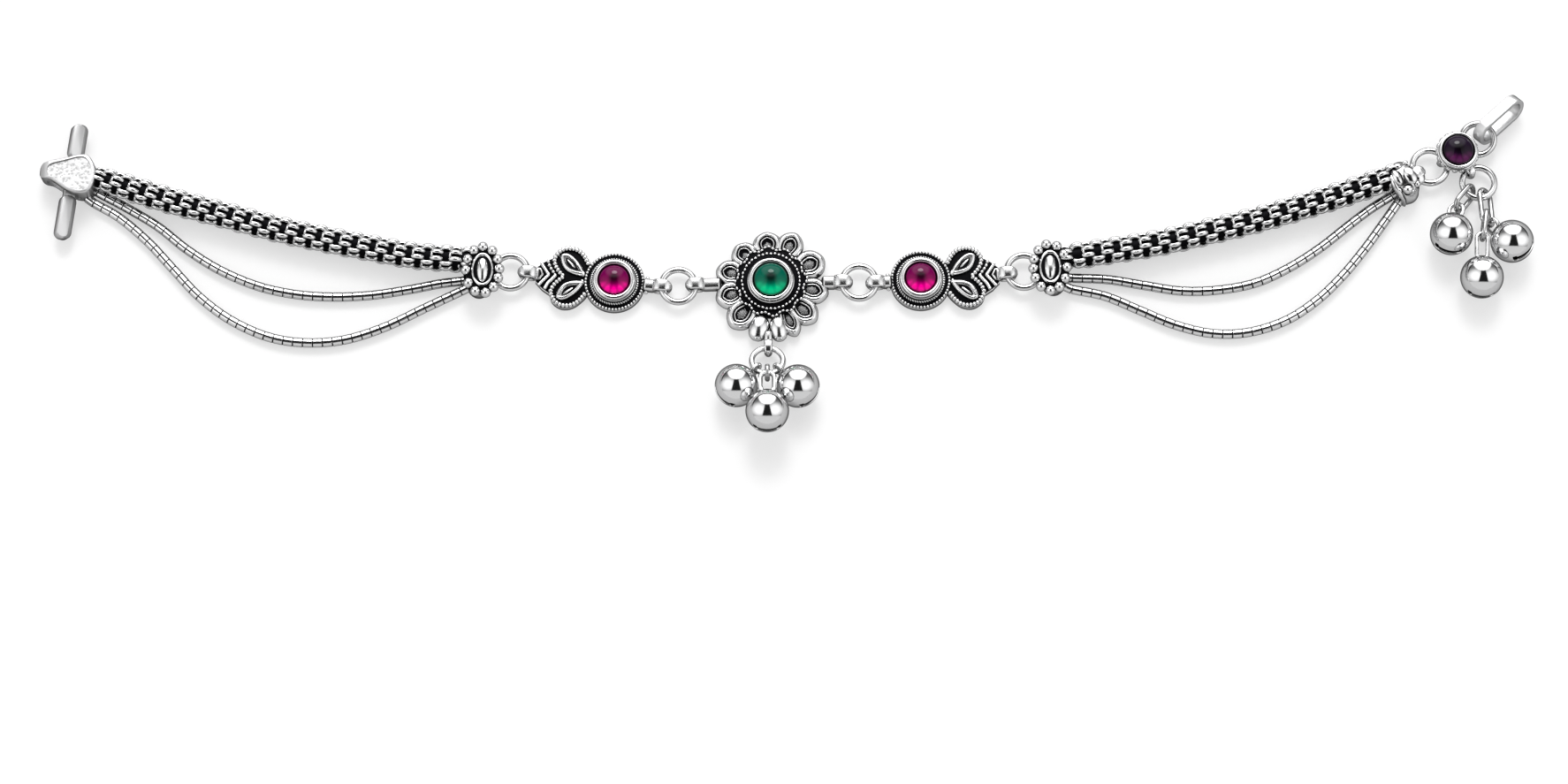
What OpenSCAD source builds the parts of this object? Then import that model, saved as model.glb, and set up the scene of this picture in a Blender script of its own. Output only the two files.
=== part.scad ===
// Oxidised silver anklet with a flower, two leaf settings, bells and a toggle clasp,
// lying open on a table. Millimetres, +Z up, the table at Z 0, the length along X.

/* [Wire and rings] */
// Radius of the jump rings' wire
wire_r = 0.55; // [0.5:0.01:0.56]
// Thickness of a cast bail's strands
strand = 0.8; // [0.7:0.05:0.8]
// Free height inside a bail
bail_hole_h = 1.6; // [1.5:0.05:1.6]
// Width of the bails on the settings
bail_w = 2.1; // [1.6:0.1:2.2]

/* [Chains] */
// Diameter of the woven chains
woven_d = 5.1; // [4.6:0.1:5.1]
// Length of one repeat of the weave
weave_pitch = 3.4; // [3.2:0.1:3.8]
// Depth of the gaps between the woven blocks
weave_depth = 0.45; // [0.2:0.05:0.6]
// Diameter of the snake chains
snake_d = 1.9; // [1.6:0.05:1.9]

/* [Settings] */
// Thickness of the cast plates under the relief
plate_t = 1.4; // [1:0.1:1.5]
// Height of the raised borders above the table
border_h = 2.1; // [1.8:0.1:2.3]
// Radius of the red stones
red_r = 2.75; // [2.5:0.05:2.8]
// Radius of the green stone
green_r = 3.05; // [2.8:0.05:3.1]
// Radius of the purple stone
purple_r = 2.75; // [2.5:0.05:2.8]
// Gap between a stone and its bezel
stone_gap = 0.08; // [0.05:0.01:0.12]

/* [Bells] */
// Radius of a bell
bell_r = 3.8; // [3.6:0.05:3.8]
// Thickness of a bell's shell
bell_wall = 0.45; // [0.35:0.05:0.6]
// Width of a bell's slit
slit_w = 0.6; // [0.4:0.05:0.8]

/* [Toggle clasp] */
// Length of the toggle bar
bar_l = 21.4; // [19:0.2:22]
// Width of the toggle bar
bar_w = 2.84; // [2.6:0.02:2.84]
// Thickness of the toggle bar
bar_t = 1.8; // [1.6:0.05:1.8]
// Roll of the bar about its own length
bar_roll = 30; // [0:1:45]
// Length of the oblong loop
loop_l = 10.8; // [10:0.1:11]
// Width of the oblong loop
loop_w = 5.0; // [4.8:0.05:5]
// Depth of the oblong loop's band
loop_depth = 2.05; // [1.9:0.05:2.1]
// Thickness of the oblong loop's band
loop_t = 0.85; // [0.75:0.05:0.85]

/* [Hidden] */

silver = "silver";
dark_silver = "dimgray";
red = "mediumvioletred";
green = "seagreen";
purple = "indigo";

// Moves the middle of the whole box to the origin
rest_shift = [-0.45, 0.59, 0];

// The rings' wires lie in the middle of the bails' holes
ring_z = strand + bail_hole_h / 2;
bail_h = 2 * strand + bail_hole_h;

// Middle of each cast piece and how far it is turned
flower_at = [-2, -3.5];
left_gem_at = [-29.6, -3.4];
right_gem_at = [24.4, -3];
left_leaf_turn = -6.1;
right_leaf_turn = 4;
left_terminal_at = [-52.7, -2];
right_terminal_at = [47.1, -1.5];
end_cap_at = [110.4, 15.2];
end_cap_turn = 22;
end_bezel_at = [119.8, 20.25];

// Jump rings: middle and the radius at the middle of the wire
mid_ring_r = 3;
left_terminal_ring_at = [-47.9, -1.6];
left_flower_ring_at = [-18.31, -4.17];
right_flower_ring_at = [13.55, -3.5];
right_terminal_ring_at = [42.6, -1.5];
end_ring_at = [115, 18];
end_ring_r = 3.05;
clasp_ring_at = [123.7, 23.06];
drop_ring_at = [123.5, 15];
small_ring_r = 2.85;

// Chains: hand-laid points, each lying on the table between its two fittings
woven_r = woven_d / 2;
snake_r = snake_d / 2;
left_woven_route = [[-120.9, 15.45, 3.4], [-113, 12.65, 3], [-105, 10.4, woven_r], [-97, 8.2, woven_r],
    [-89, 6, woven_r], [-81, 4.2, woven_r], [-73, 2.6, woven_r], [-64.8, 1.1, woven_r], [-56.6, 0.5, 2.4]];
right_woven_route = [[51.15, 1, 2.4], [59, 2.2, woven_r], [67, 3.6, woven_r], [75, 5.5, woven_r],
    [83, 7.5, woven_r], [91, 9.9, woven_r], [99, 12.4, 2.8], [107, 15.2, 3.1]];
left_inner_route = [[-121.1, 13.2], [-116, 10.4], [-110.5, 7], [-105, 2.6], [-99, -1.2], [-92.5, -4],
    [-86, -5.5], [-79.3, -6], [-72.5, -5.7], [-66, -4.7], [-60.5, -3.6], [-56.8, -3.1]];
left_outer_route = [[-122.1, 10.9], [-117.3, 8.6], [-112.2, 4.2], [-107.5, -0.9], [-102.7, -6],
    [-97, -10.3], [-90.5, -13.3], [-84, -14.4], [-77, -13.9], [-70, -11.6], [-63, -8.1], [-56.95, -5.1]];
right_inner_route = [[51.1, -2.5], [57.5, -2.8], [64, -3.9], [70.5, -4.9], [77, -4.7], [83.5, -3.4],
    [89.5, -0.6], [95, 3], [100, 7], [104, 10.1], [107.8, 12.6]];
right_outer_route = [[51.25, -4.6], [57, -5.9], [63, -8.5], [69, -11.1], [75.5, -12.7], [82, -12.5],
    [88.5, -10.4], [94, -6.8], [98.7, -2.3], [102.7, 2.5], [106, 7], [108.4, 10.4]];

// Flower petals: direction, reach and half width, and 1 where the petal is solid
petals = [[95, 9.5, 2.5, 0], [64, 10.3, 2.2, 0], [26, 10.5, 2.6, 0], [-11, 10.4, 2.2, 0],
    [-42, 10.7, 2.2, 0], [-65, 10.8, 1.7, 0], [-81, 11.2, 1.5, 1], [-104, 11.3, 1.7, 1],
    [-131, 10.8, 2.5, 0], [-162, 10.2, 2.4, 0], [166, 10, 2.3, 0], [132, 9.3, 2.3, 0]];

// Half of a leaf plate's outline, from the gem out to the bail
leaf_edge = [[4.2, 2.2], [5.1, 3.7], [6.8, 5.3], [8.8, 5.7], [10.5, 4.8], [11.2, 3.4]];
leaf_end = [[12.6, 2.6], [13.9, 1.4]];
// Outline of one teardrop on a leaf
teardrop = [[5.6, 0.8], [7, 2.9], [7.9, 4.2], [9.3, 4.3], [9.4, 2.8], [8.6, 1.7], [7.2, 1.1]];

// Bar cap seen from above, round its edge
cap_edge = [[-131.5, 16.3], [-130.7, 17.7], [-127, 18.6], [-123.4, 19.3], [-121.8, 17.6],
    [-121.4, 15.4], [-122.2, 12.8], [-123.9, 12], [-126.4, 12.7], [-129.2, 14.6], [-131, 15.1]];
cap_h = 5.1;
cap_leaf_t = 0.8;
cap_slot = [-130.3, -124.15];
cap_slot_h = 2.8;
cap_nose_r = 2.4;
cap_dish = 0.45;
bar_at = [-126.1, 14.95, cap_leaf_t + cap_slot_h / 2];
bar_turn = -6.5;
bar_neck = [-2.9, 4.7];
bar_neck_w = 2;
bar_neck_t = 1.5;

// Hanging groups
cluster_ring_r = 2.75;
cluster_wire_r = 0.5;
cluster_tilt = 20;
cluster_hook_y = -15.6;
cluster_ring_at = [-2.6, cluster_hook_y - cluster_ring_r * cos(cluster_tilt),
    ring_z + cluster_ring_r * sin(cluster_tilt)];
cluster_left_at = [-8, -23.05, bell_r];
cluster_middle_at = [-2.6, -28.3, 6.3];
cluster_right_at = [2.75, -23.15, bell_r];
drop_left_at = [118, 4.8, bell_r];
drop_middle_at = [123, -3.2, bell_r];
drop_right_at = [128.6, 3.4, bell_r];
link_wire_r = 0.35;

// Points and vectors
function unit(v) = v / norm(v);
function flat(v) = [v[0], v[1], 0];

// A smooth curve through hand-laid points: where it is at u, from 0 to 1
function spline_step(a, b, c, d, t) =
    0.5 * (2 * b + (c - a) * t + (2 * a - 5 * b + 4 * c - d) * t * t + (3 * b - a - 3 * c + d) * t * t * t);
function on_route(route, u) =
    let (last = len(route) - 1, s = min(max(u, 0) * last, last - 0.0001), i = floor(s))
    spline_step(route[max(i - 1, 0)], route[i], route[i + 1], route[min(i + 2, last)], s - i);
function on_ring(points, u) =
    let (n = len(points), s = u * n, i = floor(s))
    spline_step(points[(i + n - 1) % n], points[i % n], points[(i + 1) % n], points[(i + 2) % n], s - i);
function closed_curve(points, steps) = [for (k = [0 : steps * len(points) - 1])
    on_ring(points, k / (steps * len(points)))];
function route_length(route, n = 100) =
    let (p = [for (k = [0 : n]) on_route(route, k / n)])
    [for (k = 0, s = 0; k <= n; k = k + 1, s = k <= n ? s + norm(p[k] - p[k - 1]) : s) s][n];

// Flat outlines
function rounded_box(x0, x1, y0, y1, r, n = 5) =
    [for (c = [[x1 - r, y1 - r, 0], [x0 + r, y1 - r, 90], [x0 + r, y0 + r, 180], [x1 - r, y0 + r, 270]])
        for (k = [0 : n]) [c[0] + r * cos(c[2] + 90 * k / n), c[1] + r * sin(c[2] + 90 * k / n)]];
function box_edge(x0, x1, y0, y1) = [[x0, y0], [x1, y0], [x1, y1], [x0, y1]];
function oval(a, b, n = 36) = [for (k = [0 : n - 1]) [a * cos(360 * k / n), b * sin(360 * k / n)]];
function toothed(root, tip, teeth) =
    [for (k = [0 : teeth - 1]) for (s = [[0.1, root], [0.3, tip], [0.7, tip], [0.9, root]])
    let (a = 360 * (k + s[0]) / teeth) [s[1] * cos(a), s[1] * sin(a)]];
function scaled(points, k, about) = [for (p = points) about + k * (p - about)];
function mirrored(points) = [for (k = [len(points) - 1 : -1 : 0]) [points[k][0], -points[k][1]]];
function middle(points) = [for (i = [0, 1]) [for (p = points) p[i]] * [for (p = points) 1] / len(points)];

module in_place() {
    translate(rest_shift) children();
}

module slab(points, z0, z1) {
    translate([0, 0, z0]) linear_extrude(z1 - z0) polygon(points);
}

// A flat outline stood on edge: its first axis along X, its second up
module upright(points, width) {
    rotate([90, 0, 0]) linear_extrude(width, center = true) polygon(points);
}

// A tube with flat sides along a list of rings of points
module skin(rings) {
    n = len(rings[0]);
    m = len(rings);
    quads = [for (j = [0 : m - 2]) for (i = [0 : n - 1])
        let (k = (i + 1) % n, a = j * n, b = a + n) [[a + i, a + k, b + k], [a + i, b + k, b + i]]];
    first = [for (i = [n - 1 : -1 : 0]) i];
    last = [for (i = [0 : n - 1]) (m - 1) * n + i];
    polyhedron([for (r = rings) for (p = r) p], concat([first], [for (q = quads) for (t = q) t], [last]));
}

// The same, closed on itself
module closed_skin(rings) {
    n = len(rings[0]);
    m = len(rings);
    polyhedron([for (r = rings) for (p = r) p],
        [for (j = [0 : m - 1]) for (i = [0 : n - 1]) for (t = [0, 1])
            let (k = (i + 1) % n, l = (j + 1) % m)
            t == 0 ? [j * n + i, j * n + k, l * n + k] : [j * n + i, l * n + k, l * n + i]]);
}

// Ring of points round a route, with a radius for each side
function section(at, ahead, radii, first = 0) =
    let (along = unit(ahead), side = unit(cross(along, [0, 0, 1])), up = cross(side, along), n = len(radii))
    [for (i = [0 : n - 1]) let (a = first + 360 * i / n) at + radii[i] * (cos(a) * side + sin(a) * up)];
function heading(route, u) = on_route(route, min(u + 0.01, 1)) - on_route(route, max(u - 0.01, 0));

module torus(mid_r, r) {
    rotate_extrude($fn = 64) translate([mid_r, 0]) circle(r, $fn = 32);
}

module jump_ring(at, mid_r, r = wire_r, z = ring_z) {
    color(silver) in_place() translate([at[0], at[1], z]) torus(mid_r, r);
}

// A flat-sided oval link, long along its own X
module oval_link(half, end_r, r) {
    spine = [for (k = [0 : 15]) let (a = 360 * (k + 0.5) / 16, s = cos(a) > 0 ? 1 : -1)
        [s * half + end_r * cos(a), end_r * sin(a), cos(a), sin(a)]];
    closed_skin([for (p = spine) [for (i = [0 : 5]) let (b = 60 * i)
        [p[0] + r * cos(b) * p[2], p[1] + r * cos(b) * p[3], r * sin(b)]]]);
}

// Turns a piece so that its X points along one direction and its Z lies nearest another
module aimed(at, x_way, z_way) {
    x = unit(x_way);
    y = unit(cross(z_way, x));
    z = cross(x, y);
    multmatrix([for (i = [0 : 3]) i < 3 ? [x[i], y[i], z[i], at[i]] : [0, 0, 0, 1]]) children();
}

// Woven chain: six columns of blocks in brick bond, two corners a column, four rings a repeat
weave_steps = [0.02, 0.46, 0.54, 0.98];
weave_corner = 22;
module woven_chain(route, end_scale) {
    count = round(route_length(route) / weave_pitch);
    rings = [for (b = [0 : count - 1]) for (s = [0 : 3])
        let (u = (b + weave_steps[s]) / count,
            taper = min(1, end_scale + (1 - end_scale) * 12 * min(u, 1 - u)),
            at = on_route(route, u))
        weave_section(at, heading(route, u), taper, s < 2 ? 0 : 1)];
    color(dark_silver) in_place() skin(rings);
}
function weave_section(at, ahead, taper, raised) =
    let (along = unit(ahead), side = unit(cross(along, [0, 0, 1])), up = cross(side, along))
    [for (c = [0 : 5]) for (e = [-1, 1])
        let (a = 90 + 60 * c + e * weave_corner, r = taper * (woven_r - (c % 2 == raised ? 0 : weave_depth)))
        at + r * (cos(a) * side + sin(a) * up)];

// Snake chain: a plain eight-sided tube, flat side down
snake_rings = 24;
module snake_chain(route) {
    laid = [for (p = route) [p[0], p[1], snake_r]];
    corner_r = snake_r / cos(22.5);
    color(silver) in_place() skin([for (k = [0 : snake_rings - 1]) let (u = k / (snake_rings - 1))
        section(on_route(laid, u), heading(laid, u), [for (i = [0 : 7]) corner_r], 22.5)]);
}

// A cast bail in the XZ plane, its hole's middle at a distance along X, with a tab back to the plate
module bail(hole_at, tab_from, width = bail_w, half_l = 1, end_t = 0.75) {
    difference() {
        union() {
            upright(rounded_box(hole_at - half_l - end_t, hole_at + half_l + end_t, 0, bail_h, 1.2), width);
            upright(rounded_box(tab_from, hole_at - half_l - 0.1, 0.1, border_h - 0.2, 0.3), width);
        }
        upright(rounded_box(hole_at - half_l, hole_at + half_l, strand, strand + bail_hole_h, 0.55),
            width + 1);
    }
}

// Toggle bar: flat rounded ends and a narrow neck in the cap's fold
module toggle_bar() {
    end_r = 1.25;
    color(silver) in_place() translate(bar_at) rotate([0, 0, bar_turn]) rotate([0, bar_roll, 0]) {
        slab(rounded_box(-bar_w / 2, bar_w / 2, bar_neck[1], bar_l / 2, end_r), -bar_t / 2, bar_t / 2);
        slab(rounded_box(-bar_w / 2, bar_w / 2, -bar_l / 2, bar_neck[0], end_r), -bar_t / 2, bar_t / 2);
        slab(rounded_box(-bar_neck_w / 2, bar_neck_w / 2, bar_neck[0] - 2, bar_neck[1] + 2, 0.3),
            -bar_neck_t / 2, bar_neck_t / 2);
    }
}

// Bar cap: a folded leaf with a slot for the bar, a dished face and a closed chain end
module bar_cap() {
    edge = closed_curve(cap_edge, 4);
    back = -120;
    color(silver) in_place() difference() {
        intersection() {
            slab(edge, 0, cap_h);
            translate([0, 16, 0]) upright(rounded_box(cap_edge[0][0], back, 0, cap_h, cap_nose_r, 8), 12);
        }
        translate([0, 16, 0])
            upright(rounded_box(cap_slot[0], cap_slot[1], cap_leaf_t, cap_leaf_t + cap_slot_h, 1.3), 12);
        slab(scaled(edge, 0.78, middle(edge)), cap_h - cap_dish, cap_h + 1);
    }
}

// Oval terminal: beaded face on a box that takes the chain ends, with an eye under its far side
terminal_face_z = 2.6;
terminal_face_h = 4.1;
terminal_bead_r = 0.8;
module terminal(eye_y) {
    bead_a = 2.95;
    bead_b = 4.25;
    eye_wall = 0.7;
    hole_to = 2.6;
    eye_to = 3.2;
    box_h = 3.3;
    difference() {
        union() {
            slab(oval(2.6, 3.7), 0, terminal_face_h - 0.5);
            translate([-3.7, -4.1, 0]) cube([2.6, 8.3, box_h]);
        }
        translate([eye_wall, -6, -1]) cube([6, 12, terminal_face_z + 1]);
    }
    slab(oval(3, 4.3), terminal_face_z, terminal_face_h);
    for (k = [0 : 11])
        translate([bead_a * cos(30 * k + 15), bead_b * sin(30 * k + 15), terminal_face_h])
            sphere(terminal_bead_r, $fn = 24);
    slab(oval(2, 3.05), terminal_face_h - 0.1, terminal_face_h + 0.25);
    difference() {
        slab(oval(2, 3.05), terminal_face_h, terminal_face_h + 0.65);
        slab(oval(1.65, 2.7), terminal_face_h - 1, terminal_face_h + 2);
    }
    slab(oval(1.15, 2.3), terminal_face_h, terminal_face_h + 0.7);
    translate([0, eye_y, 0]) upright([[eye_wall - 0.2, 0], [eye_to, 0], [eye_to, terminal_face_z + 0.1],
        [hole_to, terminal_face_z + 0.1], [hole_to, strand], [eye_wall - 0.2, strand]], 1.6);
}

module left_terminal() {
    color(silver) in_place() translate(flat(left_terminal_at)) terminal(0.4);
}

module right_terminal() {
    color(silver) in_place() translate(flat(right_terminal_at)) rotate([0, 0, 180]) terminal(0);
}

// Leaf setting: toothed disc and bezel for the red stone, two lobes, chevrons and two bails
gem_disc_r = 5.4;
bezel_out = 3.95;
bezel_h = 3.3;
red_seat_z = 1.7;
disc_floor = 1.2;
module leaf_setting(gem_bail) {
    half = [for (k = [0 : 20]) on_route(leaf_edge, k / 20)];
    outline = concat(half, leaf_end, mirrored(leaf_end), mirrored(half));
    lobe = concat(half, [[8.9, 0.25], [4.2, 0.25]]);
    drop = closed_curve(teardrop, 3);
    difference() {
        union() {
            slab(outline, 0, plate_t);
            difference() {
                slab(toothed(gem_disc_r - 0.35, gem_disc_r, 36), 0, border_h);
                translate([0, 0, disc_floor]) cylinder(h = 5, r = gem_disc_r - 0.75, $fn = 64);
            }
            for (side = [0, 1]) mirror([0, side, 0]) {
                difference() {
                    slab(lobe, plate_t - 0.1, border_h);
                    slab(scaled(lobe, 0.8, middle(lobe)), plate_t - 1, border_h + 1);
                    cylinder(h = 9, r = gem_disc_r - 0.55, $fn = 64);
                }
                difference() {
                    slab(drop, plate_t - 0.1, border_h);
                    slab(scaled(drop, 0.5, middle(drop)), plate_t + 0.15, border_h + 1);
                }
                slab([[10.1, 0], [10.7, 0], [12.4, 2.4], [12, 2.8]], plate_t - 0.1, border_h);
                slab([[11.5, 0], [14, 0], [13.9, 1.2], [12.9, 1.8]], plate_t - 0.1, border_h);
            }
            cylinder(h = border_h + 0.2, r = 4.3, $fn = 64);
            cylinder(h = bezel_h, r = bezel_out, $fn = 64);
            bail(15.4, 13.2);
            rotate([0, 0, 180]) bail(gem_bail, 4.6);
        }
        translate([0, 0, red_seat_z]) cylinder(h = 5, r = red_r + stone_gap, $fn = 64);
    }
}

module left_leaf_setting() {
    color(silver) in_place() translate(flat(left_gem_at)) rotate([0, 0, 180 + left_leaf_turn])
        leaf_setting(8.5);
}

module right_leaf_setting() {
    color(silver) in_place() translate(flat(right_gem_at)) rotate([0, 0, right_leaf_turn]) leaf_setting(8);
}

// Red stone: a table and two rows of facets
module red_stone(at) {
    color(red) in_place() translate([at[0], at[1], red_seat_z + stone_gap]) hull() {
        cylinder(h = 1.2, r = red_r, $fn = 16);
        rotate([0, 0, 22.5]) cylinder(h = 1.9, r = 2, $fn = 8);
        cylinder(h = 2.3, r = 1.1, $fn = 8);
    }
}

// A domed stone with a straight girdle
module cabochon(r, girdle_h, dome_h) {
    ball = (r * r + dome_h * dome_h) / (2 * dome_h);
    intersection() {
        cylinder(h = girdle_h + dome_h + 1, r = r, $fn = 64);
        translate([0, 0, girdle_h + dome_h - ball]) sphere(ball, $fn = 64);
    }
}

// Flower setting: twelve petals, two bead rings, the bezel and three bails
flower_floor = 1.2;
petal_h = 2.2;
flower_bezel_out = 4.05;
flower_bezel_h = 3.7;
green_seat_z = 2;
function petal_edge(reach, half_w, inset) =
    let (from = 4.6, to = reach - inset, w = half_w - inset)
    [for (k = [0 : 17]) let (a = 20 * k, s = (1 - cos(a)) / 2)
        [from + (to - from) * s, w * sin(a) * (0.55 + 0.6 * s)]];
module petal(direction, reach, half_w, solid) {
    rotate([0, 0, direction]) {
        slab(petal_edge(reach, half_w, 0), 0, flower_floor);
        difference() {
            slab(petal_edge(reach, half_w, 0.1), 0.2, petal_h + 0.3 * solid);
            if (solid == 0) slab(petal_edge(reach, half_w, 0.8), flower_floor, petal_h + 1);
        }
    }
}
module flower_setting() {
    color(silver) in_place() translate(flat(flower_at)) difference() {
        union() {
            for (p = petals) petal(p[0], p[1], p[2], p[3]);
            cylinder(h = petal_h + 0.1, r = 6.1, $fn = 64);
            slab(toothed(6.2, 6.5, 50), petal_h - 0.6, petal_h + 0.4);
            slab(toothed(4.8, 5.1, 40), petal_h - 0.1, petal_h + 0.5);
            cylinder(h = flower_bezel_h, r = flower_bezel_out, $fn = 64);
            bail(12.7, 7, 2.2);
            rotate([0, 0, 182]) bail(13.35, 7, 2.1);
            translate([-0.45, 0, 0]) rotate([0, 0, -90]) bail(12.1, 7, 1.5, 0.8, 0.6);
        }
        difference() {
            translate([0, 0, petal_h - 0.4]) cylinder(h = 5, r = 6, $fn = 64);
            cylinder(h = 9, r = 5.2, $fn = 64);
        }
        translate([0, 0, green_seat_z]) cylinder(h = 5, r = green_r + stone_gap, $fn = 64);
    }
}

module green_cabochon() {
    color(green) in_place() translate([flower_at[0], flower_at[1], green_seat_z + stone_gap])
        cabochon(green_r, 1.2, 1.7);
}

// End cap: domed cap with raised lenses, ovals and beads, a smooth rim and a bail
cap_dome_r = 4.3;
cap_dome_z = 0.95;
module end_cap() {
    color(silver) in_place() translate(flat(end_cap_at)) rotate([0, 0, end_cap_turn]) {
        intersection() {
            translate([0, 0, cap_dome_z]) sphere(cap_dome_r, $fn = 64);
            union() {
                translate([-2.9, -3.8, 0]) cube([4.2, 7.6, 6]);
                translate([-2.9, -3.8, 2.5]) cube([5, 7.6, 6]);
            }
        }
        translate([-2.9, 0, cap_dome_z]) rotate([0, 90, 0]) intersection() {
            cylinder(h = 0.7, r = 3.9, $fn = 64);
            translate([-5, -5, 0]) cube([5 + cap_dome_z, 10, 2]);
        }
        translate([-0.9, 1.4, 4.75]) sphere(0.75, $fn = 24);
        translate([0.7, 0.6, 4.75]) sphere(0.75, $fn = 24);
        translate([-0.8, -0.9, 4.75]) sphere(0.8, $fn = 24);
        translate([0.8, -1.7, 4.4]) sphere(0.7, $fn = 24);
        rotate([0, 0, 9.3]) bail(2.45, 0.5, 2.3);
    }
}

// End bezel: stone cup on a flange, held over three bails that meet at a short post
bezel_floor = strand + bail_hole_h;
cup_out = 3.42;
cup_h = 4.5;
purple_seat_z = bezel_floor + 0.5;
bezel_post_r = 1;
function from_bezel(at) = at - end_bezel_at;
function way(v) = atan2(v[1], v[0]);
module bezel_bail(ring_at, ring_r) {
    d = norm(from_bezel(ring_at)) - ring_r;
    half_l = 0.85;
    end_t = 0.7;
    rotate([0, 0, way(from_bezel(ring_at))]) difference() {
        upright(box_edge(0, d + half_l + end_t, 0, bezel_floor + 0.3), 1.6);
        upright(box_edge(d - half_l, d + half_l, strand - 0.1, bezel_floor), 3);
    }
}
module end_bezel() {
    color(silver) in_place() translate(flat(end_bezel_at)) difference() {
        union() {
            bezel_bail(end_ring_at, end_ring_r);
            bezel_bail(clasp_ring_at, small_ring_r);
            bezel_bail(drop_ring_at, small_ring_r);
            cylinder(h = bezel_floor + 0.2, r = bezel_post_r, $fn = 32);
            slab(toothed(3.6, 3.85, 24), bezel_floor + 0.1, bezel_floor + 0.8);
            translate([0, 0, bezel_floor]) cylinder(h = cup_h - bezel_floor, r = cup_out, $fn = 64);
        }
        translate([0, 0, purple_seat_z]) cylinder(h = 5, r = purple_r + stone_gap, $fn = 64);
    }
}

module purple_cabochon() {
    color(purple) in_place() translate([end_bezel_at[0], end_bezel_at[1], purple_seat_z + stone_gap])
        cabochon(purple_r, 1.2, 1.5);
}

// Clasp ring, raised on the side that carries the oblong loop
loop_way = 42.3;
loop_roll = 69;
clasp_tilt = 6.4;
module clasp_ring() {
    color(silver) in_place()
        translate([clasp_ring_at[0], clasp_ring_at[1], ring_z + small_ring_r * sin(clasp_tilt)])
        rotate([0, 0, loop_way]) rotate([0, -clasp_tilt, 0]) torus(small_ring_r, wire_r);
}

// Oblong loop: a flat band on edge, rolled about its length
module oblong_loop() {
    low = loop_w / 2 * sin(loop_roll) + loop_depth / 2 * cos(loop_roll);
    hole_l = loop_l - 2 * loop_t;
    hole_w = loop_w - 2 * loop_t;
    color(silver) in_place() translate([127.4, 26.45, low]) rotate([0, 0, loop_way]) rotate([loop_roll, 0, 0])
        difference() {
            slab(rounded_box(-loop_l / 2, loop_l / 2, -loop_w / 2, loop_w / 2, loop_w / 2 - 0.01, 10),
                -loop_depth / 2, loop_depth / 2);
            slab(rounded_box(-hole_l / 2, hole_l / 2, -hole_w / 2, hole_w / 2, hole_w / 2 - 0.01, 10),
                -loop_depth, loop_depth);
        }
}

// Eye in the XY plane: a half ring on two straight legs that start inside the shell
module long_eye(far, half_w, wire) {
    translate([far - half_w, 0, 0]) rotate([0, 0, -90]) rotate_extrude(angle = 180, $fn = 64)
        translate([half_w, 0]) circle(wire, $fn = 32);
    for (side = [-half_w, half_w]) translate([bell_r - 0.6, side, 0]) rotate([0, 90, 0])
        cylinder(h = far - half_w - bell_r + 0.6, r = wire, $fn = 32);
}

// Bell: hollow ball with a slit at one pole and its eye at the other, its X towards the eye
module bell(far, half_w, wire, slit_turn) {
    difference() {
        union() {
            sphere(bell_r, $fn = 64);
            long_eye(far, half_w, wire);
        }
        sphere(bell_r - bell_wall, $fn = 64);
        rotate([slit_turn, 0, 0]) {
            translate([-bell_r - 1, -slit_w / 2, -2.4]) cube([bell_r, slit_w, 4.8]);
            for (end = [-2.4, 2.4]) translate([-bell_r - 1, 0, end]) rotate([0, 90, 0])
                cylinder(h = bell_r, r = 0.5, $fn = 24);
        }
    }
}

// Turn about the bell's own axis that lays its slit level with the table
function level_turn(x_way, z_way) =
    let (x = unit(x_way), y = unit(cross(z_way, x)), level = unit(cross([0, 0, 1], x)))
    atan2(-level * y, level * cross(x, y));

module aimed_bell(at, x_way, z_way, far, half_w, wire) {
    color(silver) in_place() aimed(at, x_way, z_way) bell(far, half_w, wire, level_turn(x_way, z_way));
}

// Point on the tilted cluster ring's wire, at an angle round the ring
function on_cluster(a) = cluster_ring_at
    + cluster_ring_r * [cos(a), sin(a) * cos(cluster_tilt), -sin(a) * sin(cluster_tilt)];
function along_cluster(a) = [-sin(a), cos(a) * cos(cluster_tilt), -cos(a) * sin(cluster_tilt)];

module cluster_ring() {
    color(silver) in_place() translate(cluster_ring_at) rotate([-cluster_tilt, 0, 0])
        torus(cluster_ring_r, cluster_wire_r);
}

module ring_bell(at, a) {
    reach = on_cluster(a) - at;
    aimed_bell(at, reach, along_cluster(a), norm(reach) + 1, 1, 0.36);
}

// Eye of the middle bell, long enough to reach the link over the ring
middle_eye_far = 7.35;
middle_eye_w = 1.25;
middle_eye_wire = 0.45;
middle_dip = 8;
module cluster_bell_middle() {
    aimed_bell(cluster_middle_at, [0, cos(middle_dip), -sin(middle_dip)], [0, 0, 1],
        middle_eye_far, middle_eye_w, middle_eye_wire);
}

// Link from the cluster ring's low side up over the middle bell's eye
cluster_link_half = 0.9;
cluster_link_end_r = 1;
module cluster_link() {
    low = on_cluster(270);
    high = cluster_middle_at + middle_eye_far * [0, cos(middle_dip), -sin(middle_dip)];
    color(silver) in_place() aimed((low + high) / 2, high - low, [1, 0, 0])
        oval_link(cluster_link_half, cluster_link_end_r, link_wire_r);
}

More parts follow.
